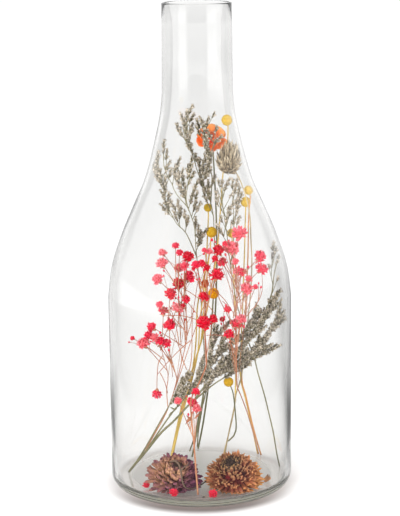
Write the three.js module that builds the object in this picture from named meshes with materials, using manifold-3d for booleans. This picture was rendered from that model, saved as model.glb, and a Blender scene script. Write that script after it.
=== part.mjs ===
// Dried flowers in a tall clear glass bottle: statice, baby's breath, button flowers, an orange bloom and a
// cone head stand in it, and two everlasting heads lie on its floor. Millimetres, +Z up, the front towards -Y,
// with the origin at the middle of the flat base.
import * as THREE from 'three';
import { mergeVertices } from 'three/addons/utils/BufferGeometryUtils.js';
import Module from 'manifold-3d';

const wasm = await Module();
wasm.setup();

// Driving dimensions of the bottle
const HEIGHT = 302;
const NECK_RADIUS = 21.3;
const BODY_RADIUS = 57;
const NECK_WALL = 1.8;
const BODY_WALL = 2.2;
const FLOOR_TOP = 5.5;
const HEEL_RADIUS = 8;
const INNER_HEEL_RADIUS = 3;
const RIM_ROUND = 0.9;
const BOTTLE_SIDES = 26;
// Radius and height along the flare and the shoulder
const SHOULDER = [
  [21.7, 248], [23.4, 233], [28.2, 212], [33.4, 194], [40, 179], [47.9, 160.4], [54.3, 141],
  [BODY_RADIUS, 122],
];

// Clearances
const SEAT = 0.3;
const FLOOR_LEVEL = FLOOR_TOP + SEAT;

// The eye of the front view, from which the places of stems and blooms are read: px is counted to the right
// and py down in a picture of 400 by 516, and a depth in mm, towards the back, completes a place.
const EYE_DISTANCE = 1040;
const EYE_HEIGHT = 360;
const EYE_TILT = THREE.MathUtils.degToRad(11.7);
const FOCAL = 1711;
const AXIS_PX = 199.2;
const MIDDLE_PY = 258;
const ROLL = 0.0108;

function sight(px, py) {
  const x = px - AXIS_PX;
  const y = py - MIDDLE_PY;
  return { across: x - y * ROLL, down: EYE_TILT + Math.atan((y + x * ROLL) / FOCAL) };
}

function place(px, py, depth) {
  const { across, down } = sight(px, py);
  const run = EYE_DISTANCE + depth;
  const z = EYE_HEIGHT - run * Math.tan(down);
  const reach = run * Math.cos(EYE_TILT) + (EYE_HEIGHT - z) * Math.sin(EYE_TILT);
  return new THREE.Vector3(across * reach / FOCAL, depth, z);
}

function depthAt(px, py, level) {
  return (EYE_HEIGHT - level) / Math.tan(sight(px, py).down) - EYE_DISTANCE;
}

// A seeded draw, so that every build is the same
let seed = 1;
function sow(number) {
  seed = number;
}
function draw(low = 0, high = 1) {
  seed = (seed * 1664525 + 1013904223) % 4294967296;
  return low + (high - low) * seed / 4294967296;
}

// Solids
function toSolid(geometry) {
  const bare = geometry.clone();
  bare.deleteAttribute('normal');
  bare.deleteAttribute('uv');
  const merged = mergeVertices(bare, 1e-4);
  const index = merged.index.array;
  const kept = [];
  for (let i = 0; i < index.length; i += 3) {
    const [a, b, c] = [index[i], index[i + 1], index[i + 2]];
    if (a !== b && b !== c && c !== a) kept.push(a, b, c);
  }
  const vertProperties = new Float32Array(merged.attributes.position.array);
  let solid = new wasm.Manifold(new wasm.Mesh({ numProp: 3, vertProperties, triVerts: new Uint32Array(kept) }));
  if (solid.volume() < 0) {
    const flipped = [];
    for (let i = 0; i < kept.length; i += 3) flipped.push(kept[i], kept[i + 2], kept[i + 1]);
    const triVerts = new Uint32Array(flipped);
    solid = new wasm.Manifold(new wasm.Mesh({ numProp: 3, vertProperties, triVerts }));
  }
  return solid;
}

// The largest body of a solid as a geometry, without any loose scrap
function shown(solid) {
  const bodies = solid.decompose().sort((a, b) => b.volume() - a.volume());
  const mesh = bodies[0].getMesh();
  const geometry = new THREE.BufferGeometry();
  geometry.setAttribute('position', new THREE.BufferAttribute(new Float32Array(mesh.vertProperties), 3));
  geometry.setIndex(new THREE.BufferAttribute(new Uint32Array(mesh.triVerts), 1));
  geometry.computeVertexNormals();
  return geometry;
}

// Joins what it is given in one body
function fuse(geometries) {
  let solids = geometries.map(toSolid);
  while (solids.length > 1) {
    const joined = [];
    for (let i = 0; i < solids.length; i += 2) {
      joined.push(i + 1 < solids.length ? solids[i].add(solids[i + 1]) : solids[i]);
    }
    solids = joined;
  }
  return shown(solids[0]);
}

// Cuts off what lies below a level
function cutBelow(geometry, level) {
  return shown(toSolid(geometry).trimByPlane([0, 0, 1], level));
}

const UP = new THREE.Vector3(0, 0, 1);

function turned(geometry, direction, at, spin = 0) {
  const along = direction.clone().normalize();
  geometry.rotateZ(spin);
  geometry.applyQuaternion(new THREE.Quaternion().setFromUnitVectors(UP, along));
  geometry.translate(at.x, at.y, at.z);
  return geometry;
}

// A closed tube through its points, with its own radius at each of its rings. With a twist, every second ring
// is turned so that its corners stand between those of the ring before.
function stalk(points, radii, sides, twist = 0) {
  const last = points.length - 1;
  const column = new THREE.CylinderGeometry(1, 1, 1, sides, last);
  const position = column.attributes.position;
  const corner = new THREE.Vector3();
  const turns = [];
  let before = UP;
  points.forEach((_, ring) => {
    const along = points[Math.min(ring + 1, last)].clone().sub(points[Math.max(ring - 1, 0)]).normalize();
    const turn = new THREE.Quaternion().setFromUnitVectors(before, along);
    turns.push(ring ? turn.multiply(turns[ring - 1]) : turn);
    before = along;
  });
  for (let i = 0; i < position.count; i += 1) {
    const ring = Math.round((0.5 - position.getY(i)) * last);
    const reach = Math.hypot(position.getX(i), position.getZ(i)) * radii[ring];
    const round = Math.atan2(position.getZ(i), position.getX(i)) + (ring % 2) * twist;
    corner.set(reach * Math.cos(round), reach * Math.sin(round), 0);
    corner.applyQuaternion(turns[ring]).add(points[ring]);
    position.setXYZ(i, corner.x, corner.y, corner.z);
  }
  return column;
}

function tube(points, radius, sides = 4) {
  return stalk(points, points.map(() => radius), sides);
}

// A ball whose radius swings in and out round it, so that it reads as tufts or petals
function tuft(radius, sides, rings, swing) {
  const ball = new THREE.SphereGeometry(radius, sides, rings).rotateX(Math.PI / 2);
  const position = ball.attributes.position;
  const corner = new THREE.Vector3();
  for (let i = 0; i < position.count; i += 1) {
    corner.fromBufferAttribute(position, i);
    const round = Math.atan2(corner.y, corner.x);
    const ring = Math.round(Math.acos(THREE.MathUtils.clamp(corner.z / radius, -1, 1)) / Math.PI * rings);
    const pole = ring === 0 || ring === rings;
    const wave = pole ? 0 : Math.cos(round * sides / 2 + ring * Math.PI);
    corner.multiplyScalar(1 + swing * wave);
    position.setXYZ(i, corner.x, corner.y, corner.z);
  }
  return ball;
}

// A bract or petal: a blade that lies along +Y from its root, lifts along its length and narrows at both ends
function blade({ length, width, thick = 0.7, bend = 0, root = 0.5, tip = 0.3, steps = 3, wide = 0.6 }) {
  const box = new THREE.BoxGeometry(1, length, thick, 1, steps, 1).translate(0, length / 2, 0);
  const position = box.attributes.position;
  for (let i = 0; i < position.count; i += 1) {
    const t = position.getY(i) / length;
    const spread = t < wide
      ? THREE.MathUtils.lerp(root, 1, Math.sin(Math.PI / 2 * t / wide))
      : THREE.MathUtils.lerp(tip, 1, Math.cos(Math.PI / 2 * (t - wide) / (1 - wide)));
    const angle = bend * t;
    const lift = position.getZ(i);
    const run = (bend ? length * Math.sin(angle) / bend : length * t) - lift * Math.sin(angle);
    const rise = (bend ? length * (1 - Math.cos(angle)) / bend : 0) + lift * Math.cos(angle);
    position.setXYZ(i, position.getX(i) * width * spread, run, rise);
  }
  return box;
}

// A ring of blades round +Z, each leaning up from the flat by its own angle
function bracts({ count, radius, height, lean, phase = 0, shape, ease = 0 }) {
  const ring = [];
  for (let i = 0; i < count; i += 1) {
    const leaf = blade({ ...shape, length: shape.length * draw(1 - ease, 1 + ease) });
    leaf.rotateX(lean + draw(-ease, ease));
    leaf.translate(0, radius, height);
    leaf.rotateZ(2 * Math.PI * (i + phase) / count);
    ring.push(leaf);
  }
  return ring;
}

// Routes and branching
function route(points, depths) {
  return points.map(([px, py, own]) => place(px, py, own ?? sheet(depths, py)));
}

function sheet(depths, py) {
  if (py <= depths[0][0]) return depths[0][1];
  for (let i = 1; i < depths.length; i += 1) {
    const [below, above] = [depths[i], depths[i - 1]];
    if (py <= below[0]) return THREE.MathUtils.mapLinear(py, above[0], below[0], above[1], below[1]);
  }
  return depths[depths.length - 1][1];
}

const SAMPLE = 2.5;
const LEAST_TWIG = 5;
const STEEP = 0.62;
const LEVEL_COST = 2.5;
const SIDE_SHOOTS = [0.35, 0.5, 0.65];
function sampled(points) {
  const between = [];
  for (let i = 1; i < points.length; i += 1) {
    const count = Math.max(1, Math.round(points[i].distanceTo(points[i - 1]) / SAMPLE));
    for (let k = 0; k < count; k += 1) between.push(points[i - 1].clone().lerp(points[i], (k + 0.5) / count));
  }
  return between;
}

// Each tip, from the lowest to the highest, grows from the nearest place below it on what has already grown
function branch(trunks, tips) {
  const grown = trunks.flatMap(sampled);
  return tips.map((tip) => {
    let best = null;
    let least = Infinity;
    for (const from of grown) {
      const reach = tip.distanceTo(from);
      const cost = reach + LEVEL_COST * Math.max(0, STEEP * reach - (tip.z - from.z));
      if (reach > LEAST_TWIG && cost < least) {
        least = cost;
        best = from;
      }
    }
    const twig = [best, tip];
    grown.splice(grown.indexOf(best), 1);
    grown.push(...SIDE_SHOOTS.map((share) => best.clone().lerp(tip, share)));
    return twig;
  });
}

// The bottle
function innerRadius(z) {
  let below = [BODY_RADIUS, 0];
  for (const point of [...SHOULDER].reverse()) {
    if (z < point[1]) return THREE.MathUtils.mapLinear(z, below[1], point[1], below[0], point[0]) - BODY_WALL;
    below = point;
  }
  return NECK_RADIUS - NECK_WALL;
}

function inside(point, margin) {
  const most = innerRadius(point.z) - margin;
  const reach = Math.hypot(point.x, point.y);
  if (reach > most) {
    point.x *= most / reach;
    point.y *= most / reach;
  }
  return point;
}

function arc(points, cx, cz, radius, from, to, count) {
  for (let i = 0; i <= count; i += 1) {
    const angle = THREE.MathUtils.degToRad(THREE.MathUtils.lerp(from, to, i / count));
    points.push(new THREE.Vector2(cx + radius * Math.cos(angle), cz + radius * Math.sin(angle)));
  }
}

function bottle() {
  const flare = new THREE.SplineCurve(SHOULDER.map(([r, z]) => new THREE.Vector2(r, z))).getPoints(6);
  const outline = [new THREE.Vector2(0, 0)];
  arc(outline, BODY_RADIUS - HEEL_RADIUS, HEEL_RADIUS, HEEL_RADIUS, -90, 0, 3);
  outline.push(...flare.slice().reverse());
  arc(outline, NECK_RADIUS - RIM_ROUND, HEIGHT - RIM_ROUND, RIM_ROUND, 0, 180, 2);
  for (const point of flare) {
    const share = (point.x - NECK_RADIUS) / (BODY_RADIUS - NECK_RADIUS);
    outline.push(new THREE.Vector2(point.x - THREE.MathUtils.lerp(NECK_WALL, BODY_WALL, share), point.y));
  }
  const innerBody = BODY_RADIUS - BODY_WALL;
  arc(outline, innerBody - INNER_HEEL_RADIUS, FLOOR_TOP + INNER_HEEL_RADIUS, INNER_HEEL_RADIUS, 0, -90, 1);
  outline.push(new THREE.Vector2(0, FLOOR_TOP));
  return new THREE.LatheGeometry(outline, BOTTLE_SIDES).rotateX(Math.PI / 2);
}

// A stem's foot on the floor, where the eye sees it
function footAt([px, py], radius) {
  const level = FLOOR_LEVEL + 0.7 * radius;
  return place(px, py, depthAt(px, py, level));
}

// The lines of a spray, of which the first starts at its foot
function standing(trunks, depths, radius) {
  const lines = trunks.map((points) => route(points, depths).map((point) => inside(point, radius + 0.9)));
  lines[0][0] = inside(footAt(trunks[0][0], radius), INNER_HEEL_RADIUS + radius);
  return lines;
}

// Baby's breath: each bloom is [px, py, width in px]
const PX_SIZE = 0.615;
const ROOT = 0.12;
const BREATH_STEM = 0.55;
const SIDE_STEM = 0.86;

function bloomStalk([from, to], width) {
  const radius = width * PX_SIZE / 2;
  const along = to.clone().sub(from).normalize();
  const at = (share) => to.clone().addScaledVector(along, radius * share);
  return stalk([from, at(-0.95), at(-0.25), at(0.35), at(0.85)],
    [ROOT, 0.42, radius, 0.95 * radius, 0.3 * radius], 4, Math.PI / 4);
}

function babysBreath({ number, depths, trunks, blooms, extra = [], hang = [] }) {
  sow(number);
  const lines = standing(trunks, depths, BREATH_STEM);
  const placed = [...blooms].sort((a, b) => b[1] - a[1]).map(([px, py, width]) => {
    const depth = sheet(depths, py) + draw(-1, 1);
    return { width, at: inside(place(px, py, depth), width * PX_SIZE / 2 + 0.8) };
  });
  const twigs = branch(lines, placed.map(({ at }) => at));
  return fuse([
    ...lines.map((points, i) => tube(points, i ? SIDE_STEM * BREATH_STEM : BREATH_STEM)),
    ...twigs.map((twig, i) => bloomStalk(twig, placed[i].width)),
    ...hang.flatMap(({ points, width }) => {
      const line = route(points, depths);
      const [before, last] = line.slice(-2);
      return [tube(line.slice(0, -1), 0.42), bloomStalk([before.clone().lerp(last, -0.1), last], width)];
    }),
    ...extra.flatMap((make) => make(depths)),
  ]);
}

const LEFT_BREATH = {
  number: 51,
  depths: [[345, -2], [408, 4], [457, 21]],
  trunks: [
    [[141, 457], [150.5, 440], [161, 422], [168, 408], [174.7, 388], [183, 356], [187, 335], [186, 312],
      [181, 291]],
    [[168, 408], [166.5, 390], [168, 375], [163, 355], [160.3, 345]],
  ],
  blooms: [
    [162.5, 253, 7.5], [162, 264, 10], [158, 279.6, 9.5], [175.5, 246, 6], [179.5, 253, 6], [188, 257, 10],
    [178.7, 268.5, 8], [184.5, 266.3, 8], [189, 277, 11], [178.7, 284.6, 11], [170.3, 294, 10],
    [186, 299.5, 8], [160, 305, 7], [163.4, 311.4, 9], [178, 308, 10], [169.5, 325, 11], [151.6, 327, 9],
    [148.6, 335.4, 8], [154.7, 337.4, 8], [143.5, 343.6, 10], [160.3, 341, 8], [166.4, 343, 8],
    [132.5, 338, 4],
  ],
  hang: [{ points: [[163, 355], [158.5, 362], [157, 376], [156.8, 386], [156.8, 393]], width: 9 }],
};

const RIGHT_BREATH = {
  number: 12,
  depths: [[372, -14], [452, 32]],
  trunks: [
    [[259.5, 453.5], [251, 424], [246.5, 410], [240.6, 394.7], [236.8, 385], [236.5, 369], [236, 320],
      [236, 285], [235, 262]],
    [[236.2, 345], [240, 325], [249, 313], [257, 303], [262, 290], [261.5, 274]],
  ],
  blooms: [
    [218.7, 250.7, 10], [224.8, 244, 5], [231.5, 248.7, 13], [239, 234, 13], [222.2, 262.5, 8],
    [222.3, 319.3, 5], [227.4, 309.6, 7], [236, 323.4, 10], [240.7, 319.3, 9], [229, 334, 9],
    [236.8, 271.6, 7], [241.5, 272.5, 8], [248.5, 279.5, 7], [246.4, 289, 11], [255, 287, 5],
    [259.5, 256.8, 10], [261.2, 269, 10],
  ],
};

const LEAF_RISE = 0.9;
const LEAF = { length: 5.2, width: 1.5, thick: 0.7, bend: 1.1, root: 0.6, tip: 0.4, steps: 2 };

function leafAt(px, py, aim, shape = LEAF) {
  return (depths) => {
    const leaf = blade(shape).rotateX(LEAF_RISE).rotateZ(aim);
    const at = place(px, py, sheet(depths, py));
    return [leaf.translate(at.x, at.y, at.z)];
  };
}

const FRONT_BREATH = {
  number: 13,
  depths: [[330, -24], [400, -33], [495, -49]],
  trunks: [
    [[198, 494.5], [196, 470], [194, 444], [192, 422], [191, 400], [198, 385], [205.8, 366], [206.3, 351.7],
      [205, 330], [206, 300], [208, 280]],
  ],
  blooms: [
    [209.5, 252, 6], [204.4, 250.7, 5], [214.8, 259, 6], [195.7, 265, 7], [201.8, 264, 7], [206.9, 268, 6],
    [193.7, 269, 4], [216.6, 275.2, 12], [203.5, 296.6, 9], [204, 323, 12.5], [213, 319.3, 8],
    [196.5, 392, 8], [178.3, 400.5, 9], [190, 400.3, 6], [193.3, 403, 9], [196.8, 408.5, 9],
  ],
  extra: [leafAt(192, 422.5, Math.PI / 2), leafAt(192, 422.5, -Math.PI / 2)],
};

// Statice: each tip is a place [px, py], where one long floret ends its twig
const FLORET_LENGTH = 3;
const FLORET_WIDTH = 1.3;
const TIP_GAP = 8.2;

function floretStalk([from, to]) {
  const along = to.clone().sub(from).normalize();
  const at = (share) => to.clone().addScaledVector(along, FLORET_LENGTH * share);
  const radius = FLORET_WIDTH * draw(0.85, 1.1);
  return stalk([from, at(-1.3), at(-0.7), at(-0.05), at(0.5)],
    [ROOT, 0.36, radius, 0.8 * radius, 0.15], 3, Math.PI / 3);
}

// Tips that crowd another one are left out
function thinned(tips) {
  const kept = [];
  for (const tip of tips) {
    if (kept.every((other) => Math.hypot(tip[0] - other[0], tip[1] - other[1]) > TIP_GAP)) kept.push(tip);
  }
  return kept;
}

function statice({ number, depths, trunks, tips, thick = 0.6, spread = 1.2, leaves = [] }) {
  sow(number);
  const lines = standing(trunks, depths, thick);
  const ends = thinned(tips).sort((a, b) => b[1] - a[1]).map(([px, py, own]) => (
    inside(place(px, py, (own ?? sheet(depths, py)) + draw(-spread, spread)), 2)
  ));
  return fuse([
    ...lines.map((points, i) => tube(points, i ? SIDE_STEM * thick : thick)),
    ...branch(lines, ends).map(floretStalk),
    ...leaves.flatMap((make) => make(depths)),
  ]);
}

const TALL_STATICE = {
  number: 91,
  depths: [[120, -3], [170, 3], [205, 9], [260, 22], [452, 37.5]],
  trunks: [
    [[189.5, 450.5], [195.4, 433], [199, 413], [202.8, 404], [206, 388.7], [210, 345], [213, 300],
      [214.8, 262], [214, 227], [213, 214], [210.2, 201.3], [202.8, 185.6], [196, 167], [193.6, 154],
      [186.2, 141], [184.4, 134], [187, 122], [190, 112]],
    [[210.8, 204], [212, 178], [209.8, 169, -3], [207.4, 159.7, -5], [206.5, 150.5, -6], [204.7, 136.6, -6],
      [203.8, 126, -6]],
  ],
  tips: [
    [191.3, 108], [187, 113.5], [192.7, 116], [181.6, 116], [183.4, 120.5], [177, 126.4], [179.7, 130.5],
    [191.8, 125.5], [190, 129], [184.4, 130], [188, 142], [190.4, 147], [195.6, 156], [197.3, 121.8, -4],
    [201, 120.4, -5], [207.5, 121.8, -6], [213, 115.5, -6], [202.8, 126.5, -7], [197.3, 129.2, -5],
    [202.8, 132, -8], [199, 135, -5], [207.5, 127.4, -7], [208.4, 134, -8], [215.8, 130, -8],
    [219.5, 137.5, -8.5], [215.5, 142, -8], [203.8, 142.2, -8], [206.5, 145, -8], [208.4, 151.5, -8],
    [211, 153.5, -8.5], [205, 157, -5], [209.5, 160, -7], [207, 165.4, -4], [202.8, 163.5, -3], [200, 171],
    [199.5, 162], [214.5, 178], [208.3, 184], [208.4, 190], [204.4, 194.5], [206.3, 200], [200.5, 182],
  ],
};

const LEFT_STATICE = {
  number: 22,
  depths: [[205, -2], [300, 22], [443, 49]],
  trunks: [
    [[196.5, 442], [198.4, 429.6], [203, 400], [204.5, 365], [203, 330], [200, 290], [196, 250], [194.5, 228],
      [191, 216], [187, 207], [179.7, 198.5], [174.2, 190.2], [171.9, 183.7], [167.7, 176.3], [164, 166],
      [163.5, 150]],
    [[197, 258], [186.2, 234], [177, 224.4], [170.5, 212.4], [167.5, 205]],
    [[188.8, 211], [186.2, 201.3], [186.7, 191], [189.4, 180], [190.8, 168]],
  ],
  tips: [
    [163.6, 142.5], [157.6, 153.2], [152, 159.7], [148.8, 166], [153.9, 168], [155.7, 175], [166.8, 153.2],
    [179.4, 160], [175, 167.5], [168.7, 164.5], [170.5, 172], [160.3, 171.7], [159.9, 178], [165, 179.5],
    [164, 185], [191.5, 160.5], [188, 168], [193, 173.6], [182.5, 170.8], [178.4, 173], [177, 180],
    [183.4, 180], [180.7, 187.3], [185.3, 187.5], [174.8, 176], [162.2, 194], [165, 201.3], [162.2, 206.8],
    [168.7, 196], [171.2, 203], [177.9, 203], [180.7, 209.5], [184.6, 213], [188, 219], [196.4, 183.7],
    [192.9, 192], [196.5, 195], [195, 204], [199, 205.5], [195.5, 221], [198.2, 228], [200.6, 233],
    [204.3, 232.5], [202, 238], [174, 214],
  ],
};

const RIGHT_STATICE = {
  number: 23,
  spread: 0.7,
  depths: [[220, 5], [250, 4.5], [400, 5.5], [467, 3]],
  thick: 0.55,
  trunks: [
    [[281, 466.5], [277, 452], [273, 429], [268, 408], [264, 392.5], [258.5, 374], [254, 357], [245, 332],
      [236, 300], [230, 262], [227, 235], [224, 215], [222.3, 198.5], [224, 188]],
    [[230.5, 265], [233.5, 245], [233.8, 213.3], [232.4, 201.3], [236, 190]],
    [[225, 216], [220, 197], [217, 188]],
  ],
  tips: [
    [218.6, 182], [222, 183.5], [226.5, 184.5], [228.7, 180.5], [232.4, 182], [237.3, 180.5], [236, 186],
    [239, 189.5], [231.5, 195], [241, 196], [237, 200], [232.4, 205], [228.7, 209], [229.6, 215],
    [215.8, 194], [217, 203], [238.9, 219], [233.3, 220], [221.3, 219], [226.5, 220], [218.4, 228],
    [237.5, 208],
  ],
};

const DENSE_STATICE = {
  number: 37,
  spread: 3.2,
  depths: [[400, -3], [472, -9]],
  thick: 0.7,
  trunks: [
    [[128.5, 472], [135.5, 463.7], [146, 451], [161.5, 432], [173, 421.5], [187.4, 406], [195.6, 398],
      [203, 388], [214, 376], [228, 362], [240, 348], [252, 334], [262, 321], [270, 308], [276, 296]],
    [[135.5, 463.7], [144.4, 449], [158, 425], [171, 402], [178, 388], [184, 377]],
    [[146, 451], [157, 434], [173.3, 411], [184, 399], [196, 383], [206, 368], [216, 355], [226, 345]],
    [[187.4, 406], [211, 386], [226, 376], [240, 366]],
    [[262, 321], [268, 305], [272, 291], [273.6, 278], [276, 265]],
  ],
  tips: [
    [278.6, 291], [273.8, 300], [281, 301], [269, 307], [279.8, 308.5], [263.5, 311.5], [258.5, 311],
    [282.8, 318], [276.8, 320], [272.6, 325], [266.5, 317.5], [259.2, 321], [264, 327], [249.5, 322.5],
    [254, 330], [267, 334], [243.5, 333], [249, 338], [239.8, 338], [258.5, 338.5], [242, 344.5],
    [262.3, 343], [267, 346], [274, 346], [258, 348], [246, 351], [252, 350], [225, 326], [216.8, 329],
    [215.5, 336], [222, 338], [226.5, 346], [231.8, 343], [222, 351.5], [236, 351], [215, 357],
    [221.5, 359], [229, 356.5], [213, 363], [217.8, 367.5], [246, 358.5], [247.3, 363], [240.5, 359.5],
    [237.4, 365], [243.5, 366.5], [232.6, 362.5], [229, 369], [223.5, 364], [209, 372], [202.3, 359.5],
    [200.8, 366.5], [198.6, 377], [204.5, 378], [215, 373], [181.8, 379], [187.4, 373], [184.4, 390],
    [190, 385], [276, 244], [276.6, 251], [272, 257], [278, 258], [269, 268], [277, 280],
  ],
  leaves: [leafAt(173.3, 411, -0.9, { ...LEAF, length: 4.5, width: 2, bend: 0.2 })],
};

// Button flowers: px, py and width of the ball with its depth, then the stem's way down to the floor
const BUTTONS = [
  {
    name: 'button_1', ball: [228.6, 120, 11, 1], foot: [171, 455],
    stem: [[228.6, 127, 2], [228, 140, 4.5], [226, 156, 7.5], [223, 175, 10], [220.5, 212, 12],
      [216, 260, 15], [207, 310, 16.5], [202.8, 335.6, 17.5], [194.5, 362, 19], [182, 404, 22]],
  },
  {
    name: 'button_2', ball: [250.8, 190, 9.4, 2], foot: [262, 454.5],
    stem: [[250.8, 196.5, 3], [249, 215, 6], [248, 260, 11], [246, 300, 14.5], [243, 345, 16], [242, 380, 18],
      [245.6, 394, 20], [254, 429, 27]],
  },
  {
    name: 'button_3', ball: [246, 202, 10.6, 8], foot: [258.4, 453.2],
    stem: [[246, 209, 9], [245.5, 225, 12], [244.5, 260, 16.5], [243, 300, 19.5], [241.5, 340, 21],
      [240.5, 375, 22.5], [245.5, 397, 25], [251, 420, 29]],
  },
  {
    name: 'button_4', ball: [208, 208, 8.5, 13], foot: [173, 452],
    stem: [[208.5, 214, 13.5], [208, 226, 14.5], [205, 270, 16], [197.5, 306, 17], [195.6, 345, 19.5],
      [190.5, 380, 24], [182.5, 410, 27]],
  },
  {
    name: 'button_5', ball: [211.5, 232.5, 11, 7], foot: [170, 460],
    stem: [[211, 240, 8], [206, 285, 10.5], [201.7, 335, 12.5], [197.7, 353, 13], [190, 378, 14],
      [181, 410, 15]],
  },
  {
    name: 'button_6', ball: [232, 233.5, 9.5, 10], foot: [224, 454],
    stem: [[232.3, 240, 10.8], [234, 280, 14], [236, 330, 17], [236, 368, 19], [235.5, 390, 20.5],
      [234, 410, 22]],
  },
  {
    name: 'button_7', ball: [213.5, 293.5, 11, 6], foot: [192, 456],
    stem: [[213.2, 301, 6.6], [211.5, 330, 8.5], [208, 360, 10.5], [203, 395, 14], [198, 425, 18]],
  },
  {
    name: 'amber_button', ball: [205, 284, 8, 4], foot: [169, 464],
    stem: [[204, 290, 4.6], [200, 320, 6], [198, 350, 7], [193, 375, 8], [186, 400, 8.5]],
  },
];
// This one's ball hangs low, and its kinked stem leans on the cone's stem
const LOW_BUTTON = {
  name: 'button_8', ball: [228.5, 381.5, 10, -2],
  stem: [[231.7, 388.5, -1.6], [234, 399, 1], [236, 430, 12], [228.5, 440.5, 15.9]],
};
const BUTTON_STEM = 0.5;

function buttonBall([px, py, width, depth]) {
  const radius = width * PX_SIZE / 2;
  const at = inside(place(px, py, depth), radius + 0.5);
  return { at, radius, geometry: fuse([tuft(radius, 8, 5, 0.03).translate(at.x, at.y, at.z)]) };
}

function stemLine(stem, foot, radius) {
  const points = route(stem).map((point) => inside(point, radius + 0.4));
  return foot ? [...points, footAt(foot, radius)] : points;
}

// The stem starts on the ball's underside, a seat's gap away from it
function seatedOn(ball, points) {
  const away = points[0].clone().sub(ball.at).normalize();
  const start = ball.at.clone().addScaledVector(away, ball.radius * 1.035 + SEAT);
  return [start, ...points];
}

// The orange bloom: broad cupped petals in two rings round a small eye
const ORANGE = { at: [212, 139.5, 7], aim: new THREE.Vector3(-0.05, -0.8, 0.6) };
const ORANGE_STEM = [[213.2, 151, 12.8], [214.5, 175, 15], [216, 205, 19], [216.5, 226, 23], [217, 260, 27.5],
  [215, 320, 31], [209, 380, 36.5], [203.5, 420, 41]];
const ORANGE_FOOT = [198, 448];

function orangeBloom(at) {
  sow(31);
  const outer = { length: 8, width: 7.4, thick: 0.8, bend: 0.9, root: 0.5, tip: 0.55, steps: 2, wide: 0.62 };
  const inner = { length: 6, width: 5.6, thick: 0.8, bend: 0.8, root: 0.5, tip: 0.55, steps: 2, wide: 0.62 };
  const petals = [
    ...bracts({ count: 6, radius: 1.2, height: -0.4, lean: 0.1, shape: outer, ease: 0.06 }),
    ...bracts({ count: 3, radius: 1, height: 0.6, lean: 0.5, phase: 0.5, shape: inner, ease: 0.06 }),
    tuft(2.4, 8, 4, 0.1),
  ];
  return fuse(petals.map((petal) => turned(petal, ORANGE.aim, at)));
}

// The cone head: rings of pointed scales that overlap upwards on a slim core
const CONE = { base: [227.2, 173, -1.5], tip: [228.4, 137, -1.5], radius: 7 };
const CONE_RINGS = 3;
const CONE_STEM = [[233, 176.5, -3], [239, 181, -3], [246, 198, -2.6], [250, 218, -0.5], [251, 240, 2],
  [252, 262, 6], [251, 290, 9.5], [247, 330, 11.5], [242.7, 368.6, 12.5], [240, 381.5, 12.8],
  [236, 394, 13], [234.6, 405.5, 13.5], [228, 437, 17]];
const ORANGE_STALK = 0.6;
const CONE_STALK = 0.55;
const CONE_FOOT = [224, 458];

function coneHead(base, tip) {
  sow(32);
  const length = base.distanceTo(tip);
  const [coreRadius, coreHalf, coreMiddle] = [CONE.radius * 0.78, 0.42 * length, 0.44 * length];
  const core = new THREE.SphereGeometry(1, 8, 4).rotateX(Math.PI / 2);
  core.scale(coreRadius, coreRadius, coreHalf).translate(0, 0, coreMiddle);
  const scales = [];
  for (let ring = 0; ring < CONE_RINGS; ring += 1) {
    const t = ring / (CONE_RINGS - 1);
    const height = length * (0.12 + 0.58 * t);
    scales.push(...bracts({
      count: 6 - ring,
      radius: coreRadius * Math.sqrt(1 - ((height - coreMiddle) / coreHalf) ** 2) - 1.3,
      height,
      lean: 0.9 + 0.65 * t,
      phase: ring / 2,
      shape: { length: 8, width: 5.4 - t, thick: 0.8, bend: 0.2, root: 0.9, tip: 0.12, steps: 1, wide: 0.3 },
      ease: 0.07,
    }));
  }
  return fuse([core, ...scales].map((piece) => turned(piece, tip.clone().sub(base), base)));
}

// The two everlasting heads on the floor: rings of bracts, each steeper than the one below it, round a dark eye.
// A head leans to the front, and what would sink in the floor is cut off flat.
const MAUVE_HEAD = {
  at: [-17.6, -28], raised: 7.2, tilt: 0.4, number: 41, core: [5.4, 8.4, -3, 3.6], disc: 3.3, steps: 1,
  rings: [
    { count: 9, radius: 6.4, height: -2, lean: -0.22, shape: { length: 11.2, width: 6, bend: 0.35 } },
    { count: 10, radius: 6, height: -0.4, lean: 0.12, phase: 0.5,
      shape: { length: 11.4, width: 5.8, bend: 0.45 } },
    { count: 8, radius: 5.2, height: 1.3, lean: 0.45, shape: { length: 10.4, width: 5.2, bend: 0.4 } },
    { count: 7, radius: 4.6, height: 2.6, lean: 0.8, phase: 0.5,
      shape: { length: 8.4, width: 4.4, bend: 0.3 } },
    { count: 5, radius: 4.8, height: 2.8, lean: 1.1, shape: { length: 5, width: 3.4, bend: 0.2 } },
  ],
};
const GOLD_HEAD = {
  at: [20.4, -30], raised: 8.6, tilt: 0.34, number: 42, core: [5.2, 9.4, -4.5, 5], disc: 4.2, steps: 1,
  rings: [
    { count: 10, radius: 7.6, height: -3.6, lean: -0.42, shape: { length: 11, width: 4, bend: 0.35 } },
    { count: 12, radius: 7, height: -1.8, lean: -0.05, phase: 0.5,
      shape: { length: 11.4, width: 3.8, bend: 0.3 } },
    { count: 11, radius: 6.2, height: 0.4, lean: 0.35, shape: { length: 11.2, width: 3.4, bend: 0.25 } },
    { count: 9, radius: 5.4, height: 2.6, lean: 0.72, phase: 0.5,
      shape: { length: 10, width: 3, bend: 0.2 } },
    { count: 5, radius: 4.7, height: 4.2, lean: 1.1, shape: { length: 6.6, width: 2.4, bend: 0.1 } },
  ],
};
const TENDRIL_RADIUS = 0.35;
const TENDRIL = [[171, 462, -30], [176, 461.5, -33], [180.5, 468, -37.5], [182, 481, -43.5],
  [186, 487.6, -43], [190, 489.2, -41], [197, 487.4, -38.6]];

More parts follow.
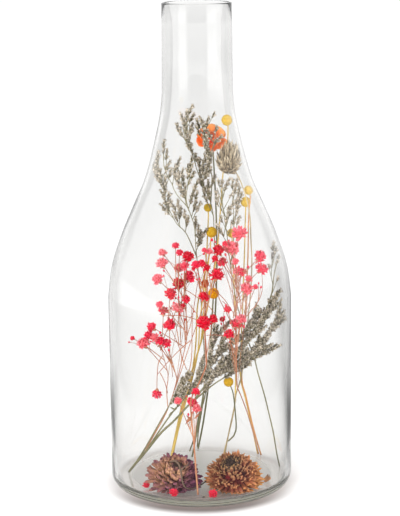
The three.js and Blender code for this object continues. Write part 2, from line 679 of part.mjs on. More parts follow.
function everlasting({ at, raised, tilt, number, core, disc, steps, rings }, extra = []) {
  sow(number);
  const [topRadius, bottomRadius, bottom, top] = core;
  const heart = new THREE.CylinderGeometry(topRadius, bottomRadius, top - bottom, 12).rotateX(Math.PI / 2);
  heart.translate(0, 0, (top + bottom) / 2);
  const shape = { thick: 0.7, root: 0.6, tip: 0.35, steps, wide: 0.6 };
  const leaves = rings.flatMap((ring) => bracts({ ...ring, shape: { ...shape, ...ring.shape }, ease: 0.08 }));
  const eye = tuft(disc, 10, 4, 0.05).scale(1, 1, 0.5).translate(0, 0, top + SEAT + disc / 2);
  const settle = (geometry) => geometry.rotateX(tilt).translate(at[0], at[1], FLOOR_LEVEL + raised);
  const head = cutBelow(fuse([heart, ...leaves].map(settle)), FLOOR_LEVEL);
  return { bracts: extra.length ? fuse([head, ...extra]) : head, eye: fuse([settle(eye)]) };
}

// Loose florets and a scrap of bract on the floor: px, py and width
const LOOSE = [[146.8, 484.8, 6], [174, 492.5, 7.5], [213.3, 495, 7.5]];
const SCRAP = [267, 481];

function looseFloret([px, py, width], number) {
  sow(50 + number);
  const radius = width * PX_SIZE / 2;
  const level = FLOOR_LEVEL + radius;
  const ball = tuft(radius, 8, 5, 0.16).rotateX(0.4);
  ball.computeBoundingBox();
  const at = inside(place(px, py, depthAt(px, py, level)), radius + INNER_HEEL_RADIUS);
  return fuse([ball.translate(at.x, at.y, FLOOR_LEVEL - ball.boundingBox.min.z)]);
}

function scrap() {
  const curled = blade({ length: 5.5, width: 4.4, thick: 0.8, bend: 1.7, root: 0.6, tip: 0.5, steps: 4 });
  curled.translate(0, -2.5, 0).rotateX(-0.6).rotateZ(2);
  curled.computeBoundingBox();
  const at = inside(place(...SCRAP, depthAt(...SCRAP, FLOOR_LEVEL)), 3.4);
  return fuse([curled.translate(at.x, at.y, FLOOR_LEVEL - curled.boundingBox.min.z)]);
}

// The whole object
const FINISH = {
  glass: { color: 0xe6ece9, roughness: 0.04, transparent: true, opacity: 0.35 },
  coral: { color: 0xe63c56, roughness: 0.8 },
  sage: { color: 0x8c8268, roughness: 0.85 },
  pale_sage: { color: 0xa3967e, roughness: 0.85 },
  yellow: { color: 0xe0b13a, roughness: 0.85 },
  amber: { color: 0xb0572a, roughness: 0.85 },
  straw: { color: 0xb8a05a, roughness: 0.8 },
  orange: { color: 0xf0602a, roughness: 0.7 },
  scale: { color: 0xb6a67e, roughness: 0.8 },
  mauve: { color: 0x7c4c5c, roughness: 0.75 },
  gold_brown: { color: 0xb98646, roughness: 0.75 },
  dark: { color: 0x4b4238, roughness: 0.9 },
  green: { color: 0x6f7252, roughness: 0.85 },
};

const flowers = new THREE.Group();

function add(name, geometry, finish) {
  const mesh = new THREE.Mesh(geometry, new THREE.MeshStandardMaterial({ metalness: 0, ...FINISH[finish] }));
  mesh.name = name;
  flowers.add(mesh);
}

add('bottle', bottle(), 'glass');
add('breath_left', babysBreath(LEFT_BREATH), 'coral');
add('breath_right', babysBreath(RIGHT_BREATH), 'coral');
add('breath_front', babysBreath(FRONT_BREATH), 'coral');
add('statice_tall', statice(TALL_STATICE), 'sage');
add('statice_left', statice(LEFT_STATICE), 'sage');
add('statice_right', statice(RIGHT_STATICE), 'pale_sage');
add('statice_dense', statice(DENSE_STATICE), 'sage');

for (const { name, ball, stem, foot } of [...BUTTONS, LOW_BUTTON]) {
  const head = buttonBall(ball);
  const line = seatedOn(head, stemLine(stem, foot, BUTTON_STEM));
  add(name, head.geometry, name === 'amber_button' ? 'amber' : 'yellow');
  add(`${name}_stem`, fuse([tube(line, BUTTON_STEM)]), foot ? 'straw' : 'green');
}

const orangeAt = place(...ORANGE.at);
const orangeBack = { at: orangeAt, radius: 2.4 };
add('orange_bloom', orangeBloom(orangeAt), 'orange');
const orangeLine = seatedOn(orangeBack, stemLine(ORANGE_STEM, ORANGE_FOOT, ORANGE_STALK));
add('orange_stem', fuse([tube(orangeLine, ORANGE_STALK)]), 'green');

const coneBase = place(...CONE.base);
const coneTip = place(...CONE.tip);
add('cone_head', coneHead(coneBase, coneTip), 'scale');
const coneBottom = { at: coneBase, radius: 0 };
const coneLine = seatedOn(coneBottom, stemLine(CONE_STEM, CONE_FOOT, CONE_STALK));
add('cone_stem', fuse([tube(coneLine, CONE_STALK)]), 'straw');

const mauve = everlasting(MAUVE_HEAD, [tube(route(TENDRIL), TENDRIL_RADIUS)]);
add('mauve_bracts', mauve.bracts, 'mauve');
add('mauve_eye', mauve.eye, 'dark');
const gold = everlasting(GOLD_HEAD);
add('gold_bracts', gold.bracts, 'gold_brown');
add('gold_eye', gold.eye, 'dark');

LOOSE.forEach((spot, i) => add(`loose_floret_${i + 1}`, looseFloret(spot, i), 'coral'));
add('bract_scrap', scrap(), 'gold_brown');

export default flowers;
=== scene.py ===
# %% [markdown]
# Dried flowers in a glass bottle
#
# A tall clear bottle holds three sprays of baby's breath, four of statice, nine button flowers, an orange
# bloom and a cone head, and two everlasting heads lie on its floor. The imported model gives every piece
# its place and size. This lesson dresses each piece: it blows the glass, grows the fine twigs and petals,
# and lights them.

# %% Load the fixed frame
import math
import random

import bmesh
import bpy
from mathutils import Matrix, Quaternion, Vector


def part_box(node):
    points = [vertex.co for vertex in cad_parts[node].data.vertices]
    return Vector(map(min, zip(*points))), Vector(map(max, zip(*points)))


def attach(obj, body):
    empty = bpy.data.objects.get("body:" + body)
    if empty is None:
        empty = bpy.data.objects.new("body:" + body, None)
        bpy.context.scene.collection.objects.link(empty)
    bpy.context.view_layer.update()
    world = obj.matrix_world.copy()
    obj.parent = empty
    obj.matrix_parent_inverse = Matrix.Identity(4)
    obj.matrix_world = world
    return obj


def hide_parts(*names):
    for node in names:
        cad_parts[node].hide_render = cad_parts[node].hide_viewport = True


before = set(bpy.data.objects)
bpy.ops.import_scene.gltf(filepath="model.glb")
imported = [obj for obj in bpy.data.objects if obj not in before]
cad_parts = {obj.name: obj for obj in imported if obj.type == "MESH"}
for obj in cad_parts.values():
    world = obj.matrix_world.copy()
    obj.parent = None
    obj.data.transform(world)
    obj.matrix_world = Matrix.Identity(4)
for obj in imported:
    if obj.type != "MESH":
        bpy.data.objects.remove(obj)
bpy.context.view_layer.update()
MM = 0.001
bottle_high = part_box("bottle")[1]
HEIGHT = bottle_high.z
BODY_RADIUS = bottle_high.y
print(f"{len(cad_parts)} nodes, bottle {HEIGHT:.3f} m tall and {2 * BODY_RADIUS:.3f} m across")

# %% [markdown]
# Stems and blooms have no measured drawing, so they are placed as a photographer's eye sees them. A spot
# is counted in a picture of 400 by 516, px to the right and py down, and a depth in millimetres behind
# the bottle's axis completes it. One function turns that into a point of the frame.

# %% The eye and the places it sees
EYE_DISTANCE = 1040 * MM
EYE_HEIGHT = 360 * MM
EYE_TILT = math.radians(11.7)
EYE_ROLL = 0.0108
FOCAL = 1711
PICTURE_HEIGHT = 516
AXIS_PX = 199.2
MIDDLE_PX = 200
MIDDLE_PY = 258
PX_SIZE = 0.615 * MM


def slope(px, py):
    x, y = px - AXIS_PX, py - MIDDLE_PY
    return x - y * EYE_ROLL, EYE_TILT + math.atan((y + x * EYE_ROLL) / FOCAL)


def place(px, py, depth):
    across, down = slope(px, py)
    run = EYE_DISTANCE + depth * MM
    z = EYE_HEIGHT - run * math.tan(down)
    reach = run * math.cos(EYE_TILT) + (EYE_HEIGHT - z) * math.sin(EYE_TILT)
    return Vector((across * reach / FOCAL, depth * MM, z))


def sheet(depths, py):
    """The depth at py of a spray that leans, from its depths at a few heights."""
    if py <= depths[0][0]:
        return depths[0][1]
    for (above, near), (below, far) in zip(depths, depths[1:]):
        if py <= below:
            return near + (far - near) * (py - above) / (below - above)
    return depths[-1][1]


def on_level(px, py, level):
    """The place at a level that is seen at a spot."""
    return place(px, py, ((EYE_HEIGHT - level) / math.tan(slope(px, py)[1]) - EYE_DISTANCE) / MM)


def route(points, depths=()):
    return [place(p[0], p[1], p[2] if len(p) > 2 else sheet(depths, p[1])) for p in points]


print("the axis at mid height is seen from", round(EYE_DISTANCE, 3), "m")

# %% [markdown]
# Every material here is a Principled shader with a few nodes before it. Wiring them by hand hides the
# idea, so a small class wraps one output socket: plain arithmetic on it adds Math nodes, and one method
# adds any other.

# %% A socket that can be reckoned with
class Reading:
    """One output of a finish's nodes. Arithmetic on it adds Math nodes."""

    def __init__(self, finish, socket):
        self.finish = finish
        self.socket = socket

    def reckon(self, operation, first, second):
        return self.finish.node("Math", {"operation": operation}, {0: first, 1: second})

    def most(self, other):
        return self.reckon("MAXIMUM", self, other)

    def __add__(self, other):
        return self.reckon("ADD", self, other)

    def __sub__(self, other):
        return self.reckon("SUBTRACT", self, other)

    def __rsub__(self, other):
        return self.reckon("SUBTRACT", other, self)

    def __mul__(self, other):
        return self.reckon("MULTIPLY", self, other)

    def __pow__(self, other):
        return self.reckon("POWER", self, other)

    __radd__ = __add__
    __rmul__ = __mul__


class Finish:
    """A material, with one short method for each kind of node that it needs."""

    def __init__(self, name, **constants):
        self.material = bpy.data.materials.new(name)
        self.material.use_nodes = True
        self.nodes = self.material.node_tree.nodes
        self.links = self.material.node_tree.links
        self.shader = self.nodes["Principled BSDF"]
        self.out = self.nodes["Material Output"]
        for socket, value in constants.items():
            self.shader.inputs[socket.replace("_", " ").title().replace("Ior", "IOR")].default_value = value

    def feed(self, socket, value):
        if isinstance(value, Reading):
            self.links.new(value.socket, socket)
        else:
            socket.default_value = value

    def node(self, kind, settings=(), inputs=(), out=0):
        made = self.nodes.new("ShaderNode" + kind)
        for name, value in dict(settings).items():
            setattr(made, name, value)
        for name, value in dict(inputs).items():
            self.feed(made.inputs[name], value)
        return Reading(self, made.outputs[out])

    def mix(self, share, first, second):
        return self.node("Mix", {"data_type": "RGBA"}, {0: share, 6: first, 7: second}, out=2)

    def ramp(self, reading, stops):
        made = self.nodes.new("ShaderNodeValToRGB")
        elements = made.color_ramp.elements
        while len(elements) < len(stops):
            elements.new(0.5)
        for element, (position, tint) in zip(elements, stops):
            element.position = position
            element.color = tint
        self.feed(made.inputs["Fac"], reading)
        return Reading(self, made.outputs["Color"])

    def grain(self, per_mm, detail=2, stretch=(1, 1, 1)):
        spot = self.node("Mapping", {"vector_type": "POINT"}, {"Vector": self.where(), "Scale": stretch})
        return self.node("TexNoise", {}, {"Vector": spot, "Scale": per_mm / MM, "Detail": detail})

    def rise(self, reading, start, end):
        """0 up to the start, 1 from the end on, and a smooth rise between."""
        return self.node("MapRange", {"interpolation_type": "SMOOTHSTEP"}, {0: reading, 1: start, 2: end})

    def own(self, attribute):
        return self.node("Attribute", {"attribute_name": attribute}, out="Fac")

    def where(self):
        """The place of a point in its object's own coordinates."""
        return self.node("TexCoord", out="Object")

    def part(self, spot, letter):
        """One of a place's three numbers: X, Y or Z."""
        return self.node("SeparateXYZ", {}, {0: spot}, out=letter)

    def length(self, spot):
        return self.node("VectorMath", {"operation": "LENGTH"}, {0: spot}, out="Value")

    def ray(self, question):
        """1 for the rays that the Light Path node answers with yes, or its count of their steps."""
        return self.node("LightPath", out=question)

    def colour(self, reading):
        self.feed(self.shader.inputs["Base Color"], reading)

    def bumps(self, reading, strength, depth):
        made = self.node("Bump", {}, {"Height": reading, "Strength": strength, "Distance": depth})
        self.feed(self.shader.inputs["Normal"], made)


def shade(red, green, blue):
    """A colour as an eye names it, from 0 to 255, as the linear light that a shader works in."""
    def linear(v):
        v = v / 255
        return v / 12.92 if v <= 0.04045 else ((v + 0.055) / 1.055) ** 2.4
    return (linear(red), linear(green), linear(blue), 1)


# %% [markdown]
# Dried petals are matte and papery. Their colour leans to a rim tint towards the edge and darkens towards
# the root, partly as their own colour and partly as painted shade where petals and florets crowd together.
# Each small mesh therefore carries two numbers: along, from 0 at its root to 1 at its rim, and tone, which
# differs from bloom to bloom. The finishes read both, so one material gives a whole spray of slightly
# different blooms.

# %% Petal finishes
RIM_POWER = 3.0
SPECK_SHARE = 0.6
LEAST_SPECK = 0.12


def petal_finish(name, tones, rim, root, rim_share=0.35, root_power=2.0, root_share=0.6, grain=1.4):
    """tones: colours over the tone. rim and root: tints that they lean to at either end of a petal."""
    finish = Finish(name, roughness=0.85, specular_ior_level=0.1)
    body = finish.ramp(finish.own("tone"), [(tone, shade(*tint)) for tone, tint in tones])
    along = finish.own("along")
    speck = finish.grain(grain)
    # Darker towards the root: partly the petal's own colour, partly painted shade where petals crowd
    # together.
    body = finish.mix((1 - along) ** root_power * root_share, body, shade(*root))
    body = finish.mix(along ** RIM_POWER * rim_share, body, shade(*rim))
    body = finish.mix((speck - 0.5) * SPECK_SHARE + LEAST_SPECK, body, shade(*root))
    finish.colour(body)
    finish.bumps(speck, 0.35, 0.25 * MM)
    return finish.material


CORAL = petal_finish("dyed coral petals", [
    (0, (208, 0, 32)), (0.3, (232, 2, 60)), (0.65, (246, 60, 98)), (1, (248, 146, 152)),
], rim=(255, 150, 158), root=(186, 0, 34), rim_share=0.2)
# On the statice the near-black root is partly painted shade in the gaps between florets, and the pale rim
# partly a painted highlight on their mouths.
SAGE = petal_finish("dried statice calyxes", [
    (0, (78, 74, 52)), (0.3, (130, 122, 90)), (0.65, (178, 166, 138)), (1, (234, 222, 202)),
], rim=(250, 236, 226), root=(40, 38, 26), rim_share=0.7, root_share=0.85, grain=1.1)
ORANGE = petal_finish("orange petals", [
    (0, (248, 84, 14)), (0.5, (255, 140, 30)), (1, (255, 182, 84)),
], rim=(255, 206, 156), root=(242, 62, 12), rim_share=0.35, root_share=0.25, grain=0.8)
SCALE = petal_finish("straw scales", [
    (0, (136, 118, 92)), (0.5, (190, 172, 142)), (1, (226, 210, 182)),
], rim=(232, 216, 188), root=(88, 74, 54), root_power=1.5, root_share=0.75, grain=1)
MAUVE = petal_finish("mauve bracts", [
    (0, (134, 84, 116)), (0.3, (186, 130, 134)), (0.55, (240, 188, 144)), (0.8, (248, 200, 142)),
    (1, (112, 82, 62)),
], rim=(120, 62, 92), root=(98, 50, 54), rim_share=0.7, root_power=1.5, root_share=0.8, grain=0.7)
GOLD = petal_finish("gold and maroon bracts", [
    (0, (255, 180, 66)), (0.35, (238, 146, 86)), (0.6, (178, 90, 74)), (0.85, (112, 60, 60)),
    (1, (74, 50, 46)),
], rim=(255, 212, 140), root=(126, 36, 40), rim_share=0.4, root_power=0.7, root_share=0.97, grain=0.8)
DARK = petal_finish("dark dried middle", [
    (0, (44, 34, 32)), (1, (98, 74, 64)),
], rim=(122, 96, 82), root=(32, 22, 22), grain=1.2)
print(len(bpy.data.materials), "finishes so far")

# %% [markdown]
# Stems are long, thin and faintly grooved. Their grain is stretched up the stem, so it reads as fibre,
# and the colour drifts slowly between a light and a dark tint. Some lean to a third tint towards their
# tip.

# %% Stem finishes
def stem_finish(name, light, dark, tip=None):
    finish = Finish(name, roughness=0.7, specular_ior_level=0.3)
    fibre = finish.grain(1.6, 3, (1, 1, 0.12))
    drift = finish.grain(0.05, 1)
    body = finish.mix((drift - 0.3) * 2.0, shade(*light), shade(*dark))
    if tip:
        body = finish.mix(finish.own("along"), body, shade(*tip))
    body = finish.mix((fibre - 0.35) * 0.8, body, shade(*dark))
    finish.colour(body)
    finish.bumps(fibre, 0.5, 0.15 * MM)
    return finish.material


STRAW_STEM = stem_finish("straw stems", (222, 192, 104), (170, 140, 70))
GREEN_STEM = stem_finish("green-grey stems", (128, 126, 92), (82, 86, 60))
TAWNY_STEM = stem_finish("tawny stems", (216, 156, 100), (166, 108, 60))
BLUSH_STEM = stem_finish("salmon stems", (208, 156, 120), (160, 104, 76), tip=(152, 70, 46))
GREY_STEM = stem_finish("grey-tan stem", (190, 172, 136), (136, 122, 92))
SAGE_STEM = stem_finish("olive statice stems", (136, 130, 96), (88, 88, 58), tip=(142, 136, 108))
TENDRIL_STEM = stem_finish("grey-brown tendril", (134, 110, 92), (92, 74, 60), tip=(70, 60, 56))
print(len(bpy.data.materials), "finishes so far")

# %% [markdown]
# A button flower's head is a ball of hundreds of tiny florets. Each bump of the mesh says how light it is,
# and the gaps between them say nothing, so the finish paints them in the darkest tint as shade.

# %% Button finishes
def button_finish(name, gap, body, crown):
    finish = Finish(name, roughness=0.9, specular_ior_level=0.15)
    speck = finish.grain(1.5, 3)
    # Painted shade: along is 0 in the gaps between florets, so they take the gap tint; random specks lean to
    # it too.
    floret_tone_and_gap_shade = finish.ramp(finish.own("along"), [(0, shade(*gap)), (0.55, shade(*body)), (1, shade(*crown))])
    finish.colour(finish.mix((speck - 0.45) * 1.2, floret_tone_and_gap_shade, shade(*gap)))
    finish.bumps(speck, 0.6, 0.3 * MM)
    return finish.material


YELLOW = button_finish("yellow florets", (176, 134, 20), (230, 192, 56), (246, 224, 112))
MUSTARD = button_finish("dusky yellow florets", (160, 116, 14), (224, 180, 42), (242, 210, 86))
OCHRE = button_finish("deep yellow florets", (182, 100, 2), (238, 166, 8), (250, 200, 46))
AMBER = button_finish("amber florets", (112, 32, 12), (186, 66, 26), (218, 112, 58))

# %% [markdown]
# The glass is clear, with a faint grey-green that only shows where it is thick. A real glass shader bends
# the view through the walls, and a thin absorption inside it tints the heavy base. Lamps would be stopped
# by such a shader, so for shadows and for light that petals scatter, the glass is a film instead: nearly
# clear on the walls, and darker round the thick heel, which leaves the soft ring of shade that such a
# base has on a table. Blown glass is never quite even, so its normal swells a little, and the floor,
# which a mould made, is matte.

# %% The glass finish
CLEAR = (0.956, 0.956, 0.954, 1)
GREY_GREEN = (0.72, 0.71, 0.62, 1)
GREY_GREEN_DENSITY = 20.0
WALL_FILM = (0.965, 0.965, 0.965, 1)
HEEL_FILM = (0.7, 0.66, 0.65, 1)
HEEL_SHADE = 13 * MM
HEEL_START = 50 * MM
SWELL = 0.22 * MM
SWELLS_PER_MM = 0.035
MATTE = 0.3
MATTE_HEIGHT = 6.2 * MM, 7 * MM
MATTE_REACH = 43 * MM, 47 * MM


def glass_finish():
    finish = Finish("clear bottle glass", roughness=0.0, transmission_weight=1.0, ior=1.46, base_color=CLEAR)
    spot = finish.where()
    height = finish.part(spot, "Z")
    reach = finish.length(finish.node("Mapping", {}, {"Vector": spot, "Scale": (1, 1, 0)}))
    matte = (1 - finish.rise(height, *MATTE_HEIGHT)) * (1 - finish.rise(reach, *MATTE_REACH))
    finish.feed(finish.shader.inputs["Roughness"], matte * MATTE)
    finish.bumps(finish.grain(SWELLS_PER_MM, 1, (1, 1, 0.5)), 1.0, SWELL)
    low = 1 - finish.rise(height, 0.5 * HEEL_SHADE, HEEL_SHADE)
    heel = low * finish.rise(reach, HEEL_START, HEEL_START * 1.06)
    film = finish.node("BsdfTransparent", {}, {"Color": finish.mix(heel, WALL_FILM, HEEL_FILM)})
    in_light = finish.ray("Is Shadow Ray").most(finish.ray("Is Diffuse Ray"))
    clear = Reading(finish, finish.shader.outputs["BSDF"])
    surface = finish.node("MixShader", {}, {0: in_light, 1: clear, 2: film})
    finish.links.new(surface.socket, finish.out.inputs["Surface"])
    tint = finish.node("VolumeAbsorption", {}, {"Color": GREY_GREEN, "Density": GREY_GREEN_DENSITY})
    finish.links.new(tint.socket, finish.out.inputs["Volume"])
    return finish.material


GLASS = glass_finish()

# %% [markdown]
# Pieces are gathered from hundreds of small meshes: one petal, one floret, one twig. A bunch takes copies
# of them, each turned and placed, writes their tone, and becomes one object at the end, which rides on
# the body and stands for its node.

# %% Gather small meshes in a piece
def small_mesh(bm, scale=1.0):
    """A finished little bmesh as a mesh, with its doubles merged and its faces outwards."""
    bmesh.ops.remove_doubles(bm, verts=bm.verts, dist=1e-6)
    bmesh.ops.recalc_face_normals(bm, faces=bm.faces)
    if scale != 1.0:
        bmesh.ops.scale(bm, vec=(scale, scale, scale), verts=bm.verts)
    mesh = bpy.data.meshes.new("small")
    bm.to_mesh(mesh)
    bm.free()
    for name in ("along", "tone"):
        if name not in mesh.attributes:
            mesh.attributes.new(name, "FLOAT", "POINT")
    return mesh


def put_in_scene(name, data):
    made = bpy.data.objects.new(name, data)
    bpy.context.scene.collection.objects.link(made)
    return made


class Bunch:
    """Copies of small meshes, each turned, placed and given its tone, that become one piece."""

    def __init__(self):
        self.bm = bmesh.new()

    def add(self, mesh, matrix=None, tone=None):
        copy = mesh.copy()
        if matrix is not None:
            copy.transform(matrix)
        if tone is not None:
            copy.attributes["tone"].data.foreach_set("value", [tone] * len(copy.vertices))
        self.bm.from_mesh(copy)
        bpy.data.meshes.remove(copy)

    def piece(self, name, material, slot, *nodes, smooth=True):
        mesh = bpy.data.meshes.new(name)
        self.bm.to_mesh(mesh)
        self.bm.free()
        mesh.materials.append(material)
        mesh.shade_smooth() if smooth else mesh.shade_flat()
        made = put_in_scene(name, mesh)
        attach(made, "root")
        if nodes:
            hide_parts(*nodes)
        mesh.calc_loop_triangles()
        print(f"{name}: {len(mesh.loop_triangles)} triangles")
        return made


def clamped(tone):
    return min(1, max(0, tone))


def aimed(at, aim, spin=0.0, size=1.0):
    """Turns a small mesh that grows along +Z to the aim, after a spin round itself, and places it."""
    turn = Vector((0, 0, 1)).rotation_difference(Vector(aim).normalized())
    spun = turn @ Quaternion((0, 0, 1), spin)
    return Matrix.Translation(at) @ spun.to_matrix().to_4x4() @ Matrix.Diagonal((size, size, size, 1))


# %% [markdown]
# A stem is a ring extruded from point to point. A smooth curve is first drawn through the given
# points, the ring turns with it, and each point has its own radius, so twigs can thin towards their tips.

# %% Draw a stem
def flowing(points, step=3 * MM):
    """Points along a smooth curve through the given ones."""
    line = []
    last = len(points) - 1
    for i in range(last):
        before, start, end, after = points[max(i - 1, 0)], points[i], points[i + 1], points[min(i + 2, last)]
        count = max(1, round((end - start).length / step))
        for k in range(count):
            t = k / count
            bend = (end - before) * 0.5, (after - start) * 0.5
            line.append(
                start * (2 * t**3 - 3 * t**2 + 1) + end * (3 * t**2 - 2 * t**3)
                + bend[0] * (t**3 - 2 * t**2 + t) + bend[1] * (t**3 - t**2)
            )
    return line + [points[-1]]


def next_ring(bm, edges):
    """Extrudes a tube's open end, and gives the new ring's points and edges."""
    grown = bmesh.ops.extrude_edge_only(bm, edges=edges)["geom"]
    verts = [g for g in grown if isinstance(g, bmesh.types.BMVert)]
    return verts, [g for g in grown if isinstance(g, bmesh.types.BMEdge)]


def stem_mesh(line, start, end, sides=6):
    """A round stem along a line, with one radius at its start and another at its end."""
    bm = bmesh.new()
    along = bm.verts.layers.float.new("along")
    heading = (line[1] - line[0]).normalized()
    turn = Vector((0, 0, 1)).rotation_difference(heading)
    seat = Matrix.Translation(line[0]) @ turn.to_matrix().to_4x4()
    last = len(line) - 1
    radii = [start + (end - start) * i / last for i in range(last + 1)]
    made = bmesh.ops.create_circle(bm, cap_ends=True, radius=start, segments=sides, matrix=seat)
    edges = list({edge for vert in made["verts"] for edge in vert.link_edges})
    for i in range(1, last + 1):
        ring, edges = next_ring(bm, edges)
        new = (line[min(i + 1, last)] - line[i - 1]).normalized()
        swing = heading.rotation_difference(new).to_matrix().to_4x4()
        thin = Matrix.Scale(radii[i] / radii[i - 1], 4)
        step = Matrix.Translation(line[i]) @ swing @ thin @ Matrix.Translation(-line[i - 1])
        bmesh.ops.transform(bm, matrix=step, verts=ring)
        for vert in ring:
            vert[along] = i / last
        heading = new
    bmesh.ops.contextual_create(bm, geom=edges)
    return small_mesh(bm)


def twig_line(root, tip, lift=0.1, count=8):
    """A side twig, nearly straight. A lift above 0 bends its tip over, and one below 0 turns it upright."""
    reach = tip - root
    knee = root + reach * 0.5 + Vector((0, 0, lift * reach.length))
    return [
        root * (1 - t) ** 2 + knee * (2 * t * (1 - t)) + tip * t**2
        for t in (i / (count - 1) for i in range(count))
    ]


# %% [markdown]
# In a spray, each bloom's twig grows from the nearest stem or twig below it. Working from the lowest
# bloom to the highest gives a branching that looks grown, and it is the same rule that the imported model
# used.

# %% Branch a spray
SAMPLE = 2.5 * MM
STEEP = 0.5
FLAT_COST = 2.5
CLOSE_COST = 3
FORKS = (0.2, 0.32, 0.44)


def between(points):
    spots = []
    for start, end in zip(points, points[1:]):
        count = max(1, round((end - start).length / SAMPLE))
        spots += [start.lerp(end, (k + 0.5) / count) for k in range(count)]
    return spots


def branch(trunks, tips, least, steep=STEEP, up=Vector((0, 0, 1))):
    """A twig for each tip: from the spot that costs least, which is near, well below and not too near."""
    grown = [spot for trunk in trunks for spot in between(trunk)]
    twigs = []
    for tip in tips:
        def cost(spot):
            reach = (tip - spot).length
            flat = max(0, steep * reach - (tip - spot).dot(up))
            return reach + FLAT_COST * flat + CLOSE_COST * max(0, least - reach)
        best = min(grown, key=cost)
        twigs.append((best, tip))
        grown.remove(best)
        grown += [best.lerp(tip, share) for share in FORKS]
    return twigs


def walk(curve, distance):
    """The spot at a distance down from the end of a curve, and which way the curve heads there."""
    for start, end in zip(curve[-2::-1], curve[:0:-1]):
        length = (end - start).length
        if distance <= length:
            return end.lerp(start, distance / length), (end - start).normalized()
        distance -= length
    return curve[0], (curve[1] - curve[0]).normalized()


# %% [markdown]
# The bottle is blown glass: one profile, outside up and inside down, spun round its axis. The outer line
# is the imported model's own, drawn finer, and the wall gets thinner towards the neck. The rim and both
# heels are arcs, so they catch the light as fire-polished glass does.

# %% The bottle's profile and spin
NECK_RADIUS = 21.3 * MM
NECK_WALL = 1.8 * MM
BODY_WALL = 2.2 * MM
FLOOR_TOP = 5.5 * MM
HEEL_RADIUS = 8 * MM
INNER_HEEL = 3 * MM
RIM_ROUND = 0.9 * MM
# Radius and height in millimetres, from the neck down to the body.
SHOULDER = [
    (21.7, 248), (23.4, 233), (28.2, 212), (33.4, 194), (40, 179), (47.9, 160.4), (54.3, 141), (57, 122),
]
TURNS = 160


def bow(middle_r, middle_z, radius, start, end, count):
    spots = []
    for i in range(count + 1):
        angle = math.radians(start + (end - start) * i / count)
        spots.append(Vector((middle_r + radius * math.cos(angle), 0, middle_z + radius * math.sin(angle))))
    return spots


def bottle_profile():
    flare = flowing([Vector((r * MM, 0, z * MM)) for r, z in SHOULDER], 2 * MM)
    wall = bow(BODY_RADIUS - HEEL_RADIUS, HEEL_RADIUS, HEEL_RADIUS, -90, 0, 10)
    wall += [Vector((BODY_RADIUS, 0, z * MM)) for z in (30, 60, 90)] + flare[::-1]
    wall += [Vector((NECK_RADIUS + 0.15 * MM, 0, 270 * MM)), Vector((NECK_RADIUS, 0, 290 * MM))]
    wall += bow(NECK_RADIUS - RIM_ROUND, HEIGHT - RIM_ROUND, RIM_ROUND, 0, 180, 8)
    wall += [Vector((NECK_RADIUS - NECK_WALL, 0, z * MM)) for z in (290, 270)]
    for spot in flare:
        share = (spot.x - NECK_RADIUS) / (BODY_RADIUS - NECK_RADIUS)
        wall.append(Vector((spot.x - NECK_WALL - (BODY_WALL - NECK_WALL) * share, 0, spot.z)))
    inner = BODY_RADIUS - BODY_WALL
    wall += [Vector((inner, 0, z * MM)) for z in (90, 60, 30)]
    wall += bow(inner - INNER_HEEL, FLOOR_TOP + INNER_HEEL, INNER_HEEL, 0, -90, 6)
    return [Vector((0, 0, 0))] + wall + [Vector((0, 0, FLOOR_TOP))]


def blow_bottle():
    bm = bmesh.new()
    verts = [bm.verts.new(spot) for spot in bottle_profile()]
    edges = [bm.edges.new(pair) for pair in zip(verts, verts[1:])]
    bmesh.ops.spin(bm, geom=verts + edges, cent=(0, 0, 0), axis=(0, 0, 1), angle=2 * math.pi, steps=TURNS,
                   use_merge=True)
    bunch = Bunch()
    bunch.add(small_mesh(bm))
    return bunch.piece("bottle_glass", GLASS, "glass", "bottle")


blow_bottle()


def inner_radius(z):
    """The bottle's inside radius at a height."""
    line = [(BODY_RADIUS, 0)] + [(r * MM, h * MM) for r, h in reversed(SHOULDER)]
    for (wide, low), (narrow, high) in zip(line, line[1:]):
        if z < high:
            return wide + (narrow - wide) * (z - low) / (high - low) - BODY_WALL
    return NECK_RADIUS - NECK_WALL


def inside(point, margin):
    most = inner_radius(point.z) - margin
    reach = math.hypot(point.x, point.y)
    if reach > most:
        point.x *= most / reach
        point.y *= most / reach
    return point


# %% [markdown]
# A petal is a small grid, shaped to its outline, bent up along its length and cupped across it. A frill
# waves its rim, a notch draws in the middle of its end, and a curl turns the end over. A thin solidify
# makes it a closed sheet of real thickness, so it has two faces and an edge.

# %% One petal
END_BULGE = 0.12
FRILL_PHASE = 1.3


def petal(length, width, thick=0.15, root=0.4, tip=0.4, wide=0.6, bend=0.5, cup=0.15, frill=0.0, wave=2.0,
          grid=(2, 4), notch=0.0, curl=0.0):
    """Lies along +Y from the origin and lifts towards +Z. Sizes in millimetres, angles in radians."""
    bm = bmesh.new()
    bmesh.ops.create_grid(bm, x_segments=grid[0], y_segments=grid[1], size=0.5)
    along = bm.verts.layers.float.new("along")
    for vert in bm.verts:
        t = vert.co.y + 0.5
        side = vert.co.x * 2
        if t < wide:
            spread = root + (1 - root) * math.sin(math.pi / 2 * t / wide)
        else:
            spread = tip + (1 - tip) * math.cos(math.pi / 2 * (t - wide) / (1 - wide))
        angle = bend * t + curl * t**3
        run = length * (t - notch * t**4 * (1 - abs(side)) + END_BULGE * t**4 * (1 - side * side))
        rise = 0.5 * length * t * math.sin(angle)
        rise += cup * width * side * side * spread
        rise += frill * length * t**2 * math.sin(wave * math.pi * side + FRILL_PHASE)
        vert.co = (side * width / 2 * spread, run * math.cos(0.5 * angle), rise)
        vert[along] = t
    bmesh.ops.solidify(bm, geom=bm.faces[:], thickness=thick)
    return small_mesh(bm, MM)


def ball(detail, radius=1.0, stretch=(1, 1, 1), lift=0.0):
    """A small round body, stretched and then lifted."""
    bm = bmesh.new()
    bmesh.ops.create_icosphere(bm, subdivisions=detail, radius=radius)
    bmesh.ops.scale(bm, vec=stretch, verts=bm.verts)
    bmesh.ops.translate(bm, vec=(0, 0, lift), verts=bm.verts)
    return small_mesh(bm)


